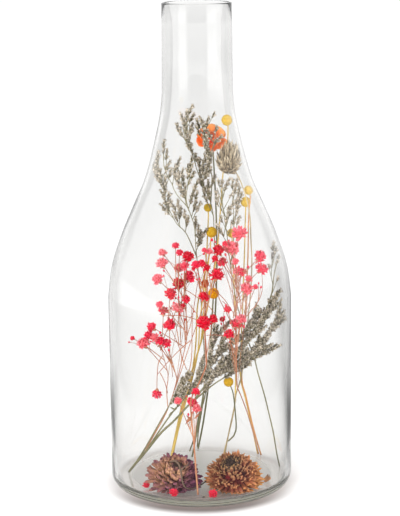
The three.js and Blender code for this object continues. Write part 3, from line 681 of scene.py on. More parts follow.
def lying(at, aim_up, turn, radius=0.0, height=0.0, size=1.0, roll=0.0):
    """Places a petal in a ring round +Z: out by the radius, leaning up by aim_up, turned round by turn."""
    lean = Matrix.Rotation(aim_up, 4, "X") @ Matrix.Rotation(roll, 4, "Y")
    out = Matrix.Translation((0, radius, height)) @ lean @ Matrix.Scale(size, 4)
    return at @ Matrix.Rotation(turn, 4, "Z") @ out


# %% [markdown]
# A baby's breath bloom is a loose pompon: nearly thirty frilled petals that point every way but down,
# over a small heart. Three different ones, spun and scaled, are enough for a spray, because no two are
# seen alike.

# %% Baby's breath blooms
BLOOM_PETALS = 28
BLOOM_FULLNESS = 1.25
LEAST_BLOOM_TWIG = 24 * MM
GOLDEN = math.pi * (3 - math.sqrt(5))


def bloom(seed):
    """A bloom of radius 1 m that grows along +Z, to be scaled to its own size."""
    pick = random.Random(seed)
    bunch = Bunch()
    bunch.add(ball(2, 0.6))
    kinds = [
        petal(560, 620, thick=50, root=0.5, tip=0.75, wide=0.7, bend=bend, cup=0.2, frill=0.2, grid=(3, 3),
              notch=0.45, wave=wave)
        for bend, wave in ((0.3, 2.0), (0.8, 2.6), (0.5, 1.5))
    ]
    for i in range(BLOOM_PETALS):
        rise = 1 - 1.7 * (i + 0.5) / BLOOM_PETALS
        aim_up = math.asin(rise) + pick.uniform(-0.2, 0.2)
        ring = Matrix.Rotation(i * GOLDEN, 4, "Z") @ Matrix.Rotation(aim_up, 4, "X")
        out = ring @ Matrix.Translation((0, 0.45, 0)) @ Matrix.Rotation(pick.uniform(-1.2, 1.2), 4, "Y")
        bunch.add(kinds[i % 3], out @ Matrix.Scale(pick.uniform(0.75, 1.2), 4))
    mesh = bpy.data.meshes.new("bloom")
    bunch.bm.to_mesh(mesh)
    bunch.bm.free()
    return mesh


BLOOMS = [bloom(seed) for seed in (1, 2, 3)]
print("one bloom has", len(BLOOMS[0].polygons), "faces")

# %% [markdown]
# Each spray of baby's breath keeps its listed stems and blooms: every bloom is its place, its width in
# pixels and its tone, from 0 for crimson to 1 for pale pink.

# %% The left spray of baby's breath
LEFT_BREATH = {
    "seed": 51,
    "depths": [
        (345, -2), (408, 4), (457, 21),
    ],
    "trunks": [
        [(141, 457), (150.5, 440), (161, 422), (168, 408), (174.7, 388), (183, 356), (187, 335),
         (186, 312), (181, 291)], [(168, 408), (166.5, 390), (168, 375), (163, 355), (160.3, 345)],
    ],
    "blooms": [
        (162.5, 253, 7.5, 0.9), (162, 264, 10, 0.9), (158, 279.6, 9.5, 0.9), (175.5, 246, 6, 0.5),
        (179.5, 253, 6, 0.5), (188, 257, 10, 0.1), (178.7, 268.5, 8, 0.9), (184.5, 266.3, 8, 0.8),
        (189, 277, 11, 0.5), (178.7, 284.6, 11, 0.1), (170.3, 294, 10, 0.15), (186, 299.5, 8, 0.5),
        (160, 305, 7, 0.55), (163.4, 311.4, 9, 0.1), (178, 308, 10, 1), (183, 306, 5, 0.1),
        (169.5, 325, 11, 0.3), (151.6, 327, 9, 0.5), (148.6, 335.4, 8, 0.55), (154.7, 337.4, 8, 0.9),
        (143.5, 343.6, 10.5, 0.9), (160.3, 341, 8, 0.5), (166.4, 343, 8, 0.45), (132.5, 338, 4, 0.3),
    ],
    "hang": [
        ([(163, 355), (158.5, 362), (157, 376), (156.8, 386), (156.8, 393)], 9, 0.75),
    ],
    "fine": [
        [(190.2, 340.3), (181.2, 348.3), (171, 358.4), (163, 367.4), (157, 374.5)],
        [(210.4, 326.2), (202.3, 321.7), (195.3, 319.1), (182.2, 315.6), (165.1, 315.6)],
        [(199, 322), (197.3, 315), (193, 309), (188.2, 303)],
        [(186.7, 369.4), (182.7, 359.4), (179.2, 347.3), (174.2, 335.2), (171.6, 329.7)],
        [(179.2, 345.3), (176.7, 328.2), (174.7, 321.2), (169.6, 306)],
        [(185.7, 339.8), (184.8, 328), (181, 317), (178, 309)],
        [(185.7, 339.8), (188.5, 331), (191.3, 321.2), (192, 305)],
        [(188.2, 376), (191.6, 355.4), (192.3, 321.2), (195, 300), (199, 275)],
        [(171.1, 359.4), (172.6, 376.5)], [(160, 372.5), (164.6, 381.5), (167.6, 393)],
        [(198, 298), (190, 292.5), (182.3, 288)],
        [(174.7, 389.6), (184, 362), (193, 335), (203, 308), (214, 290)],
    ],
}

# %% The right spray of baby's breath
RIGHT_BREATH = {
    "seed": 12,
    "depths": [
        (372, -14), (452, 32),
    ],
    "trunks": [
        [(259.5, 453.5), (251, 424), (246.5, 410), (240.6, 394.7), (236.8, 385), (236.5, 369), (236, 320),
         (236, 285), (235, 262)],
        [(236.2, 345), (240, 325), (249, 313), (257, 303), (262, 290), (261.5, 274)],
    ],
    "blooms": [
        (218.7, 250.7, 10, 0.15), (224.8, 244, 5, 0.5), (231.5, 248.7, 13, 0.9), (239, 234, 13, 0.85),
        (222.2, 262.5, 8, 0.5), (222.3, 319.3, 5, 0.1), (227.4, 309.6, 7, 0.1), (236, 323.4, 10, 0.3),
        (240.7, 319.3, 9, 0.85), (229, 334, 9, 0.3), (235.5, 262, 6, 0.9), (236.8, 271.6, 7, 0.9),
        (241.5, 272.5, 8, 0.5), (248.5, 279.5, 7, 0.9), (246.4, 289, 11, 0.85), (255, 287, 5, 0.5),
        (259.5, 256.8, 10.5, 0.5), (261.2, 269, 10, 0.5),
    ],
    "fine": [
        [(236, 318), (232.5, 312.1), (227.5, 306), (222.4, 301)],
        [(233, 318), (235.5, 305), (241.6, 295)], [(234, 312), (237.5, 303), (247.6, 295)],
        [(236, 318), (224.6, 299.7), (216, 292), (208, 284.8)],
        [(235.4, 316.3), (233, 297), (231.2, 279.8)], [(234.6, 330), (226, 312), (219, 298), (214, 280)],
        [(236, 345), (228, 338), (217.4, 334.7), (206.3, 335.2)],
    ],
}

# %% The front spray of baby's breath
FRONT_BREATH = {
    "seed": 13,
    "thick": 1.5,
    "depths": [
        (330, -24), (400, -33), (495, -49),
    ],
    "trunks": [
        [(198, 494.5), (196, 470), (194, 444), (192, 422), (191, 400), (198, 385), (205.8, 366),
         (206.3, 351.7), (205, 330), (206, 300), (208, 280)],
    ],
    "blooms": [
        (209.5, 252, 6, 0.9), (204.4, 250.7, 5, 0.7), (214.8, 259, 6, 0.1), (195.7, 265, 7, 0.5),
        (201.8, 264, 7, 0.5), (206.9, 268, 6, 0.1), (193.7, 269, 4, 0.1), (216.6, 275.2, 12, 0.1),
        (203.5, 296.6, 9, 0.15), (204, 323, 12.5, 0.1), (213, 319.3, 8, 0.15), (196, 391.5, 7, 0.4),
        (178.3, 400.5, 6.5, 0.9), (190, 400.3, 6, 0.6), (193.3, 403, 8, 0.65), (196.8, 408.5, 8, 0.95),
    ],
    "leaves": [
        (191, 416.5, 5.5, 2.6), (192.5, 421.5, 5, 0.9), (195, 418, 4.5, -0.6),
    ],
    "fine": [[(205.3, 302), (210, 307.5), (214.4, 313.1)], [(206, 330), (206, 310), (200, 290), (196, 272)]],
}

# %% [markdown]
# A stem has to end on the bottle's floor, whatever its last point says, so its foot is worked out from
# where it is seen on that level. Small leaves, buds and the cups under the blooms are made once, and
# copied.

# %% Feet and small parts
STEM_RADIUS = 0.42 * MM
TWIG_RADIUS = 0.3 * MM
TIP_RADIUS = 0.19 * MM
STEM_MARGIN = 1.5 * MM
FLOOR_SEAT = 0.35 * MM
FOOT_MARGIN = 2.6 * MM


def foot(px, py):
    """The spot on the bottle's floor where a stem's end is seen."""
    return inside(on_level(px, py, FLOOR_TOP + FLOOR_SEAT), FOOT_MARGIN)


def standing(spray):
    """A spray's stems as lines of points, of which the first starts at its foot."""
    lines = [[inside(p, STEM_MARGIN) for p in route(points, spray["depths"])] for points in spray["trunks"]]
    lines[0][0] = foot(*spray["trunks"][0][0][:2])
    return lines


def cup_mesh():
    bm = bmesh.new()
    bmesh.ops.create_cone(bm, cap_ends=True, segments=7, radius1=0.12, radius2=0.42, depth=0.5)
    bmesh.ops.translate(bm, vec=(0, 0, -0.72), verts=bm.verts)
    return small_mesh(bm)


BUD = ball(2, stretch=(1, 1, 1.5))
JOINT = ball(2, stretch=(1, 1, 1.8))
CUP = cup_mesh()
LEAF = petal(1000, 330, thick=60, root=0.5, tip=0.15, wide=0.4, bend=0.4, cup=0.3, grid=(2, 2))


def add_leaves(stems, spray):
    """Small curled leaves at their spots: px, py, length in mm and the turn to which they point."""
    for px, py, length, turn in spray.get("leaves", []):
        at = place(px, py, sheet(spray["depths"], py))
        stems.add(LEAF, aimed(at, (0.2, -1, 0.4), turn, length * MM), 0.6)


# %% [markdown]
# One function grows any of the three sprays. Blooms face up and outwards from their twig, each on a small
# cup, with a bud beside it, and long bare shoots with a bud at their end cross the bunch. The stems are a
# piece of their own, because they have another finish.

# %% Grow the baby's breath
FULL_TURN = 6.28
BLOOM_SCATTER = 4
BLOOM_MARGIN = 0.8 * MM
BUD_SPREAD = 4 * MM
BUD_MARGIN = 2 * MM
JOINT_SIZE = 0.36 * MM
LEAST_BUD_TWIG = 9 * MM
LEAST_LONG_SHOOT = 42 * MM


def bloom_heads(spray, pick):
    """Each bloom's middle, radius and tone, from the lowest bloom up."""
    heads = []
    for px, py, width, tone in sorted(spray["blooms"], key=lambda b: -b[1]):
        radius = width * PX_SIZE / 2
        at = place(px, py, sheet(spray["depths"], py) + pick.uniform(-BLOOM_SCATTER, BLOOM_SCATTER))
        heads.append((inside(at, radius + BLOOM_MARGIN), radius, tone))
    return heads


def beside(at, rise, pick):
    """A bud's spot: somewhere round a bloom, and higher or lower on the whole by the rise."""
    drift = Vector((pick.gauss(0, 1), 0.6 * pick.gauss(0, 1), pick.gauss(rise, 1))) * BUD_SPREAD
    return inside(at + drift, BUD_MARGIN)


def bud_twigs(lines, twigs, heads, long_shoots, pick):
    """The long shoots among the inner blooms, and after them a short twig beside each bloom."""
    inner = sorted(heads, key=lambda head: abs(head[0].x))[:max(long_shoots, len(heads) // 2)]
    long_tips = [beside(at, 0, pick) for at, radius, tone in pick.sample(inner, long_shoots)]
    shoots = branch(lines, long_tips, LEAST_LONG_SHOOT, 0.6)
    short_tips = [beside(at, -0.6, pick) for at, radius, tone in heads]
    carriers = lines + [list(twig) for twig in twigs + shoots]
    return shoots + branch(carriers, short_tips, LEAST_BUD_TWIG, 0.35)


def grow_breath(name, spray, long_shoots=0):
    pick = random.Random(spray["seed"])
    lines = standing(spray)
    heads = bloom_heads(spray, pick)
    stems, blooms = Bunch(), Bunch()
    for i, line in enumerate(lines):
        curve = flowing(line)
        thick = STEM_RADIUS * (spray.get("thick", 1) if i == 0 else 0.8)
        stems.add(stem_mesh(curve, thick, 0.5 * thick))
    twigs = branch(lines, [head[0] for head in heads], LEAST_BLOOM_TWIG)
    ends = []
    for (root, tip), (at, radius, tone) in zip(twigs, heads):
        ends.append((twig_line(root, tip, pick.uniform(-0.02, 0.1)), radius, tone))
    for points, width, tone in spray.get("hang", []):
        ends.append((flowing(route(points, spray["depths"])), width * PX_SIZE / 2, tone))
    for points in spray["fine"]:
        curve = flowing([inside(point, STEM_MARGIN) for point in route(points, spray["depths"])])
        stems.add(stem_mesh(curve, TWIG_RADIUS, TIP_RADIUS, 5))
    for root, tip in bud_twigs(lines, twigs, heads, long_shoots, pick):
        curve = twig_line(root, tip, pick.uniform(-0.05, 0.08), 5)
        stems.add(stem_mesh(curve, 0.8 * TIP_RADIUS, 0.6 * TIP_RADIUS, 4))
        spot = aimed(tip, tip - root, 0, pick.uniform(0.4, 0.75) * MM)
        blooms.add(BUD, spot, pick.uniform(0.5, 1))
        stems.add(JOINT, aimed(root, tip - root, 0, JOINT_SIZE), 1)
    for curve, radius, tone in ends:
        stems.add(stem_mesh(curve, TWIG_RADIUS, TIP_RADIUS, 5))
        aim = (curve[-1] - curve[-2]).normalized() + Vector((0, -0.25, 0.35))
        spot = aimed(curve[-1], aim, pick.uniform(0, FULL_TURN), radius * BLOOM_FULLNESS)
        blooms.add(pick.choice(BLOOMS), spot, clamped(tone + pick.uniform(-0.06, 0.06)))
        stems.add(CUP, spot)
    add_leaves(stems, spray)
    blooms.piece(f"{name}_blooms", CORAL, "coral", name)
    stems.piece(f"{name}_stems", BLUSH_STEM, "coral", name)


grow_breath("breath_left", LEFT_BREATH, 8)
grow_breath("breath_right", RIGHT_BREATH, 8)
grow_breath("breath_front", FRONT_BREATH)

# %% [markdown]
# Statice dries into ears of small papery calyxes, shaped like a grain with a flared mouth. Each is a ring
# drawn up in three steps and folded back inside, and its mouth is wavy, so its edge is a four-pointed
# star.

# %% One statice floret
# Each step of the ring: height, radius, and the along value that the finish reads. The last step folds back
# inside the mouth with along 0, so it takes the dark root tint as painted shade there.
CALYX = [(0.32, 0.19, 0.2), (0.68, 0.15, 0.5), (1.0, 0.27, 1.0), (0.62, 0.08, 0.0)]
CALYX_LOBES = 4


def calyx():
    """Length 1 along +Z from its foot at the origin, to be scaled."""
    bm = bmesh.new()
    along = bm.verts.layers.float.new("along")
    made = bmesh.ops.create_circle(bm, cap_ends=True, radius=0.06, segments=2 * CALYX_LOBES)
    edges = list({edge for vert in made["verts"] for edge in vert.link_edges})
    for height, radius, share in CALYX:
        ring, edges = next_ring(bm, edges)
        for vert in ring:
            angle = math.atan2(vert.co.y, vert.co.x)
            star = 1 + (0.2 * math.cos(CALYX_LOBES * angle) if share == 1.0 else 0)
            lift = height * (0.6 + 0.4 * star)
            vert.co = (radius * star * math.cos(angle), radius * star * math.sin(angle), lift)
            vert[along] = share
    bmesh.ops.contextual_create(bm, geom=edges)
    return small_mesh(bm)


FLORET = calyx()
print("one calyx has", len(FLORET.polygons), "faces")

# %% [markdown]
# Each spray of statice keeps its listed stems and the tips that its ears end in. Where it passes in
# front of something else, as the tall one does by the orange bloom, a spot has its own depth after its px
# and py, and a sparse ear has its own number of florets after that.

# %% The tall spray of statice
TALL_STATICE = {
    "seed": 91,
    "plump": 1.2,
    "tones": (0.0, 0.85),
    "depths": [
        (120, -3), (170, 3), (205, 9), (260, 22), (452, 37.5),
    ],
    "trunks": [
        [(189.5, 450.5), (195.4, 433), (199, 413), (202.8, 404), (206, 388.7), (210, 345), (213, 300),
         (214.8, 262), (214, 227), (213, 214), (210.2, 201.3), (202.8, 185.6), (196, 167), (193.6, 154),
         (186.2, 141), (184.4, 134), (187, 122), (190, 112)],
        [(210.8, 204), (212, 178), (209.8, 169, -3), (207.4, 159.7, -5), (206.5, 150.5, -6),
         (204.7, 136.6, -6), (203.8, 126, -6)],
    ],
    "tips": [
        (191.3, 108), (187, 113.5), (192.7, 116), (181.6, 116), (183.4, 120.5), (177, 126.4),
        (179.7, 130.5), (191.8, 125.5), (190, 129), (184.4, 130), (188, 142), (190.4, 147), (195.6, 156),
        (197.3, 121.8, -4, 8), (201, 119.6, -5, 8), (207.5, 120.8, -6, 5), (213, 115.5, -6, 3),
        (202.8, 124, -7, 9), (197.3, 129.2, -5, 8), (205.5, 127, -8, 9), (204, 133, -8, 9),
        (206.5, 138.5, -8.5, 9), (215.8, 130, -8, 3), (219.5, 137.5, -8.5, 3), (215.5, 142, -8, 3),
        (205, 143, -8.5, 9), (207.5, 147, -8.5, 9), (208.4, 152, -8, 10), (211, 154.5, -8.5, 9),
        (205, 157, -5, 9), (209.5, 160, -7, 10), (207, 165.4, -4, 10), (202.8, 163.5, -3, 9),
        (209.5, 170, -5, 9), (206.5, 174, -3, 9), (200, 171), (199.5, 162), (214.5, 178), (208.3, 184),
        (208.4, 190), (204.4, 194.5, None, 6), (206.3, 200, None, 3), (200.5, 182),
    ],
}

# %% The left spray of statice
LEFT_STATICE = {
    "seed": 22,
    "plump": 1.2,
    "tones": (0.05, 0.95),
    "depths": [
        (205, -2), (300, 22), (443, 49),
    ],
    "trunks": [
        [(196.5, 442), (198.4, 429.6), (203, 400), (204.5, 365), (203, 330), (200, 290), (196, 250),
         (194.5, 228), (191, 216), (187, 207), (179.7, 198.5), (174.2, 190.2), (171.9, 183.7),
         (167.7, 176.3), (164, 166), (163.5, 150)],
        [(197, 258), (186.2, 234), (177, 224.4), (170.5, 212.4), (167.5, 205)],
        [(188.8, 211), (186.2, 201.3), (186.7, 191), (189.4, 180), (190.8, 168)],
    ],
    "tips": [
        (163.6, 142.5), (157.6, 153.2), (152, 159.7), (148.8, 166), (153.9, 168), (155.7, 175),
        (166.8, 153.2), (179.4, 160), (175, 167.5), (168.7, 164.5), (170.5, 172), (160.3, 171.7),
        (159.9, 178), (165, 179.5), (164, 185), (191.5, 160.5), (188, 168), (193, 173.6), (182.5, 170.8),
        (178.4, 173), (177, 180), (183.4, 180), (180.7, 187.3), (185.3, 187.5), (174.8, 176),
        (162.2, 194), (165, 201.3), (162.2, 206.8), (168.7, 196), (171.2, 203), (177.9, 203),
        (180.7, 209.5), (184.6, 213), (188, 219), (196.4, 183.7), (192.9, 192), (196.5, 195), (195, 204),
        (199, 205.5), (195.5, 221), (198.2, 228), (200.6, 233), (204.3, 232.5), (202, 238), (174, 214),
    ],
}

# %% The pale spray of statice on the right
RIGHT_STATICE = {
    "seed": 23,
    "plump": 1.1,
    "tones": (0.35, 1.0),
    "depths": [
        (220, 5), (250, 4.5), (400, 5.5), (467, 3),
    ],
    "trunks": [
        [(281, 466.5), (277, 452), (273, 429), (268, 408), (264, 392.5), (258.5, 374), (254, 357),
         (245, 332), (236, 300), (230, 262), (227, 235), (224, 215), (222.3, 198.5), (224, 188)],
        [(230.5, 265), (233.5, 245), (233.8, 213.3), (232.4, 201.3), (236, 190)],
        [(225, 216), (220, 197), (217, 188)],
    ],
    "tips": [
        (218.6, 182), (222, 183.5), (226.5, 184.5), (228.7, 180.5), (232.4, 182), (237.3, 180.5),
        (236, 186), (239, 189.5), (231.5, 195), (241, 196), (237, 200), (232.4, 205), (228.7, 209),
        (229.6, 215), (215.8, 194), (217, 203), (238.9, 219), (233.3, 220), (221.3, 219), (226.5, 220),
        (218.4, 228), (237.5, 208),
    ],
}

# %% The dense spray of statice, which leans right across the bottle
DENSE_STATICE = {
    "seed": 37,
    "leaves": [
        (173.3, 411, 4, 2.4), (173.3, 411, 4.5, -0.6), (175, 409.5, 3.5, 1.2),
    ],
    "up": (0.62, 0, 0.78),
    "plump": 1.3,
    "tones": (0.0, 0.9),
    "depths": [
        (400, -3), (472, -9),
    ],
    "trunks": [
        [(128.5, 472), (135.5, 463.7), (146, 451), (161.5, 432), (173, 421.5), (187.4, 406), (195.6, 398),
         (203, 388), (214, 376), (228, 362), (240, 348), (252, 334), (262, 321), (270, 308), (276, 296)],
        [(135.5, 463.7), (144.4, 449), (158, 425), (171, 402), (178, 388), (184, 377)],
        [(146, 451), (157, 434), (173.3, 411), (184, 399), (196, 383), (206, 368), (216, 355),
         (226, 345)], [(187.4, 406), (211, 386), (226, 376), (240, 366)],
        [(262, 321), (268, 305), (272, 291), (273.6, 278), (276, 265)],
    ],
    "tips": [
        (278.6, 291), (273.8, 300), (281, 301), (269, 307), (279.8, 308.5), (263.5, 311.5), (258.5, 311),
        (282.8, 318), (276.8, 320), (272.6, 325), (266.5, 317.5), (259.2, 321), (264, 327),
        (249.5, 322.5), (254, 330), (267, 334), (243.5, 333), (249, 338), (239.8, 338), (258.5, 338.5),
        (242, 344.5), (262.3, 343), (267, 346), (274, 346), (258, 348), (246, 351), (252, 350),
        (225, 326), (216.8, 329), (215.5, 336), (222, 338), (226.5, 346), (231.8, 343), (222, 351.5),
        (236, 351), (215, 357), (221.5, 359), (229, 356.5), (213, 363), (217.8, 367.5), (246, 358.5),
        (247.3, 363), (240.5, 359.5), (237.4, 365), (243.5, 366.5), (232.6, 362.5), (229, 369),
        (223.5, 364), (209, 372), (202.3, 359.5), (200.8, 366.5), (198.6, 377), (204.5, 378), (215, 373),
        (181.8, 379), (187.4, 373), (184.4, 390), (190, 385), (276, 244, None, 4), (276.6, 251, None, 5),
        (272, 257, None, 4), (278, 258, None, 4), (269, 268, None, 3), (277, 280, None, 3),
    ],
}

# %% [markdown]
# Each tip carries an ear: one floret at its end and more of them down the last stretch of its twig,
# turned round it one after another and leaning up the way it grows, with a small leaf under every third.

# %% Grow the statice
EAR_STEP = 0.9 * MM
EAR_SIZE = 2.9 * MM
LEAST_EAR_TWIG = 11 * MM
SPARSE = 5
TIP_MARGIN = 2 * MM
FILL_SPREAD = 3.2 * MM
EAR_STEEP = 0.88


def ear(ears, curve, count, tones, pick, plump):
    side = (curve[-1] - curve[-2]).cross(Vector((0, 1, 0.2))).normalized()
    for k in range(count):
        at, grow = walk(curve, EAR_STEP * k)
        across = grow.cross(side)
        turn = k * GOLDEN + pick.uniform(-0.4, 0.4)
        out = side * math.cos(turn) + across * math.sin(turn)
        lean = 0 if k == 0 else pick.uniform(0.3, 0.75)
        size = EAR_SIZE * pick.uniform(0.7, 1.1)
        spot = aimed(at, grow + out * lean, pick.uniform(0, FULL_TURN), size)
        ears.add(FLORET, spot @ Matrix.Diagonal((plump, plump, 1, 1)), pick.uniform(*tones))
        if k % 3 == 1:
            leaf = spot @ Matrix.Rotation(math.pi / 2 - 0.35, 4, "X")
            ears.add(LEAF, leaf, pick.uniform(0, 0.5))


def filled(tips, extra, pick):
    """Adds companions close round each tip, for a spray that grows too dense to count."""
    more = []
    for tip, count in tips:
        for _ in range(extra if count > SPARSE else 0):
            drift = Vector([pick.uniform(-FILL_SPREAD, FILL_SPREAD) for _ in range(3)])
            more.append((inside(tip + drift, TIP_MARGIN), count))
    return sorted(tips + more, key=lambda tip: tip[0].z)


def grow_statice(name, spray, slot, florets=8, thick=0.5, spread=1.2, extra=0):
    """A tip is px, py, then its own depth or None, then its own number of florets where it has few."""
    up = Vector(spray.get("up", (0, 0, 1)))
    pick = random.Random(spray["seed"])
    lines = standing(spray)
    tips = []
    for tip in sorted(spray["tips"], key=lambda t: -t[1]):
        depth = tip[2] if len(tip) > 2 and tip[2] is not None else sheet(spray["depths"], tip[1])
        at = inside(place(tip[0], tip[1], depth + pick.uniform(-spread, spread)), TIP_MARGIN)
        tips.append((at, tip[3] if len(tip) > 3 else florets))
    tips = filled(tips, extra, pick)
    stems, ears = Bunch(), Bunch()
    for i, line in enumerate(lines):
        curve = flowing(line)
        start = thick * MM * (1 if i == 0 else 0.8)
        stems.add(stem_mesh(curve, start, 0.45 * start))
    twigs = branch(lines, [at for at, count in tips], LEAST_EAR_TWIG, EAR_STEEP, up)
    for (root, tip), (at, count) in zip(twigs, tips):
        curve = twig_line(root, tip, pick.uniform(-0.12, 0.02))
        stems.add(stem_mesh(curve, 0.27 * MM, 0.15 * MM, 5))
        ear(ears, curve, max(2, count + pick.randint(-2, 2)), spray["tones"], pick, spray["plump"])
    add_leaves(stems, spray)
    ears.piece(f"{name}_ears", SAGE, slot, name)
    stems.piece(f"{name}_stems", SAGE_STEM, slot, name)


grow_statice("statice_tall", TALL_STATICE, "sage")
grow_statice("statice_left", LEFT_STATICE, "sage")
grow_statice("statice_right", RIGHT_STATICE, "pale_sage", florets=6, thick=0.55, spread=0.7)
grow_statice("statice_dense", DENSE_STATICE, "sage", florets=16, thick=0.8, spread=3.2, extra=1)

# %% [markdown]
# A button flower's head starts as an icosphere. Every one of its small faces is inset and pushed out,
# which turns the ball into a mass of florets with gaps between them.

# %% Button heads
BUTTON_STEM = 0.45 * MM


def button_mesh(at, radius, seed):
    pick = random.Random(seed)
    bm = bmesh.new()
    bmesh.ops.create_icosphere(bm, subdivisions=4, radius=radius * 0.9)
    along = bm.verts.layers.float.new("along")
    old = set(bm.verts)
    bmesh.ops.inset_individual(bm, faces=bm.faces[:], thickness=0.03 * radius, depth=0.0)
    # The lifted florets get a random lightness in along; the gaps keep 0, which the finish paints as shade.
    for face in bm.faces:
        fresh = [vert for vert in face.verts if vert not in old]
        if len(fresh) == len(face.verts):
            lift = 1.07 + pick.uniform(-0.05, 0.09)
            light = 0.6 + pick.uniform(-0.4, 0.4)
            for vert in fresh:
                vert.co *= lift
                vert[along] = light
    bmesh.ops.translate(bm, vec=at, verts=bm.verts)
    return small_mesh(bm)


def from_node(name):
    """A node's middle and its half width, from its box."""
    low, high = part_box(name)
    return (low + high) / 2, (high.x - low.x) / 2


BUTTON_LOOKS = {"amber_button": AMBER, "button_7": OCHRE, "button_5": MUSTARD, "button_8": MUSTARD}
BUTTONS = [f"button_{number}" for number in range(1, 9)] + ["amber_button"]
for number, name in enumerate(BUTTONS):
    middle, radius = from_node(name)
    head = Bunch()
    head.add(button_mesh(middle, radius * 1.02, 60 + number))
    look = BUTTON_LOOKS.get(name, YELLOW)
    head.piece(f"{name}_head", look, "amber" if look is AMBER else "yellow", name)

# %% [markdown]
# The single stems run from their heads to the floor. Each keeps its listed line, here with depths, its
# first point is on the underside of its head, and a last one without a depth is the foot.

# %% Single stems
STEMS = {
    "button_1": [
        (228.6, 127, 2), (228, 140, 4.5), (226, 156, 7.5), (223, 175, 10), (220.5, 212, 12),
        (216, 260, 15), (207, 310, 16.5), (202.8, 335.6, 17.5), (194.5, 362, 19), (182, 404, 22),
        (171, 455),
    ],
    "button_2": [
        (250.8, 196.5, 3), (249, 215, 6), (248, 260, 11), (246, 300, 14.5), (243, 345, 16),
        (242, 380, 18), (245.6, 394, 20), (254, 429, 27), (262, 454.5),
    ],
    "button_3": [
        (246, 209, 9), (245.5, 225, 12), (244.5, 260, 16.5), (243, 300, 19.5), (241.5, 340, 21),
        (240.5, 375, 22.5), (245.5, 397, 25), (251, 420, 29), (258.4, 453.2),
    ],
    "button_4": [
        (208.5, 214, 13.5), (208, 226, 14.5), (205, 270, 16), (197.5, 306, 17), (195.6, 345, 19.5),
        (190.5, 380, 24), (182.5, 410, 27), (173, 452),
    ],
    "button_5": [
        (211, 240, 8), (206, 285, 10.5), (201.7, 335, 12.5), (197.7, 353, 13), (190, 378, 14),
        (181, 410, 15), (170, 460),
    ],
    "button_6": [
        (232.3, 240, 10.8), (234, 280, 14), (236, 330, 17), (236, 368, 19), (235.5, 390, 20.5),
        (234, 410, 22), (224, 454),
    ],
    "button_7": [
        (213.2, 301, 6.6), (211.5, 330, 8.5), (208, 360, 10.5), (203, 395, 14), (198, 425, 18),
        (192, 456),
    ],
    "amber_button": [
        (204, 290, 4.6), (200, 320, 6), (198, 350, 7), (193, 375, 8), (186, 400, 8.5), (169, 464),
    ],
    "button_8": [
        (231.7, 388.5, -1.6), (234, 399, 1), (236, 430, 12), (228.5, 440.5, 15.9),
    ],
    "orange": [
        (213.2, 151, 12.8), (214.5, 175, 15), (216, 205, 19), (216.5, 226, 23), (217, 260, 27.5),
        (215, 320, 31), (209, 380, 36.5), (203.5, 420, 41), (198, 448),
    ],
    "cone": [
        (235.2, 171.5, -2), (239, 178, -2.6), (242.8, 188, -2.8), (246.4, 199, -2.6), (250, 218, -0.5),
        (251, 240, 2), (252, 262, 6), (251, 290, 9.5), (247, 330, 11.5), (242.7, 368.6, 12.5),
        (240, 381.5, 12.8), (236, 394, 13), (234.6, 405.5, 13.5), (228, 437, 17), (224, 458),
    ],
}
STEM_LOOKS = {
    "button_2": TAWNY_STEM, "button_7": GREEN_STEM, "button_8": GREEN_STEM, "orange": GREEN_STEM,
    "cone": GREY_STEM,
}
ORANGE_STEM = 0.55 * MM
STEM_CLEARANCE = 0.8 * MM
CLOSE_ENOUGH = 1.5 * MM


def single_stem(name, radius):
    line = [inside(place(*point), radius + STEM_CLEARANCE) for point in STEMS[name] if len(point) == 3]
    if len(STEMS[name][-1]) == 2:
        line.append(foot(*STEMS[name][-1]))
    if name in ("orange", "cone"):
        top = line[0]
    else:
        middle, size = from_node(name)
        top = middle + (line[0] - middle).normalized() * (size - 0.1 * MM)
    line = [top] + line[1:] if (line[0] - top).length < CLOSE_ENOUGH else [top] + line
    curve = flowing(line)
    bunch = Bunch()
    bunch.add(stem_mesh(curve, 0.85 * radius, 1.15 * radius, 8))
    look = STEM_LOOKS.get(name, STRAW_STEM)
    bunch.piece(f"{name}_stalk", look, "green" if look is GREEN_STEM else "straw", f"{name}_stem")


for name in STEMS:
    single_stem(name, ORANGE_STEM if name == "orange" else BUTTON_STEM)

# %% [markdown]
# The orange bloom is half shut: broad frilled petals in three rings lean in over a deep orange heart. Its
# place is a spot in the picture with its depth, and its aim is given.

# %% The orange bloom
ORANGE_AT = place(211.5, 141, 7)
ORANGE_AIM = Vector((-0.05, -0.8, 0.6))
ORANGE_LIGHT_TURN = 0.8
ORANGE_HEART = 2.2 * MM


def orange_bloom():
    pick = random.Random(31)
    bunch = Bunch()
    seat = aimed(ORANGE_AT, ORANGE_AIM)
    outer = petal(9.6, 9.0, thick=0.25, root=0.4, tip=0.75, wide=0.6, bend=0.9, cup=0.2, frill=0.05,
                  wave=1.6, grid=(8, 9))
    inner = petal(7.2, 6.6, thick=0.25, root=0.4, tip=0.7, wide=0.6, bend=1.1, cup=0.25, frill=0.07,
                  wave=1.8, grid=(6, 8))
    rings = [
        (outer, 6, 0.7, -0.6, 0.1, 0.75), (outer, 5, 0.6, 0.2, 0.4, 0.5), (inner, 5, 0.5, 0.6, 0.75, 0.2),
    ]
    for kind, count, radius, height, lean, tone in rings:
        for i in range(count):
            turn = 2 * math.pi * (i + 0.5 * (kind is inner)) / count + pick.uniform(-0.12, 0.12)
            leaning = lean + pick.uniform(-0.1, 0.1)
            spot = lying(seat, leaning, turn, radius * MM, height * MM, pick.uniform(0.92, 1.02))
            side = 0.4 * math.cos(turn + ORANGE_LIGHT_TURN)
            bunch.add(kind, spot, clamped(tone + side + pick.uniform(-0.12, 0.12)))
    bunch.add(ball(3, ORANGE_HEART), seat, 0.0)
    bunch.piece("orange_petals", ORANGE, "orange", "orange_bloom")


orange_bloom()

# %% [markdown]
# The cone head is a dried bud like a small egg: pointed straw scales in rings over a rounded heart. Each
# ring follows the heart's surface, so the lowest scales point out, the middle ones up, and the top ones
# close in.

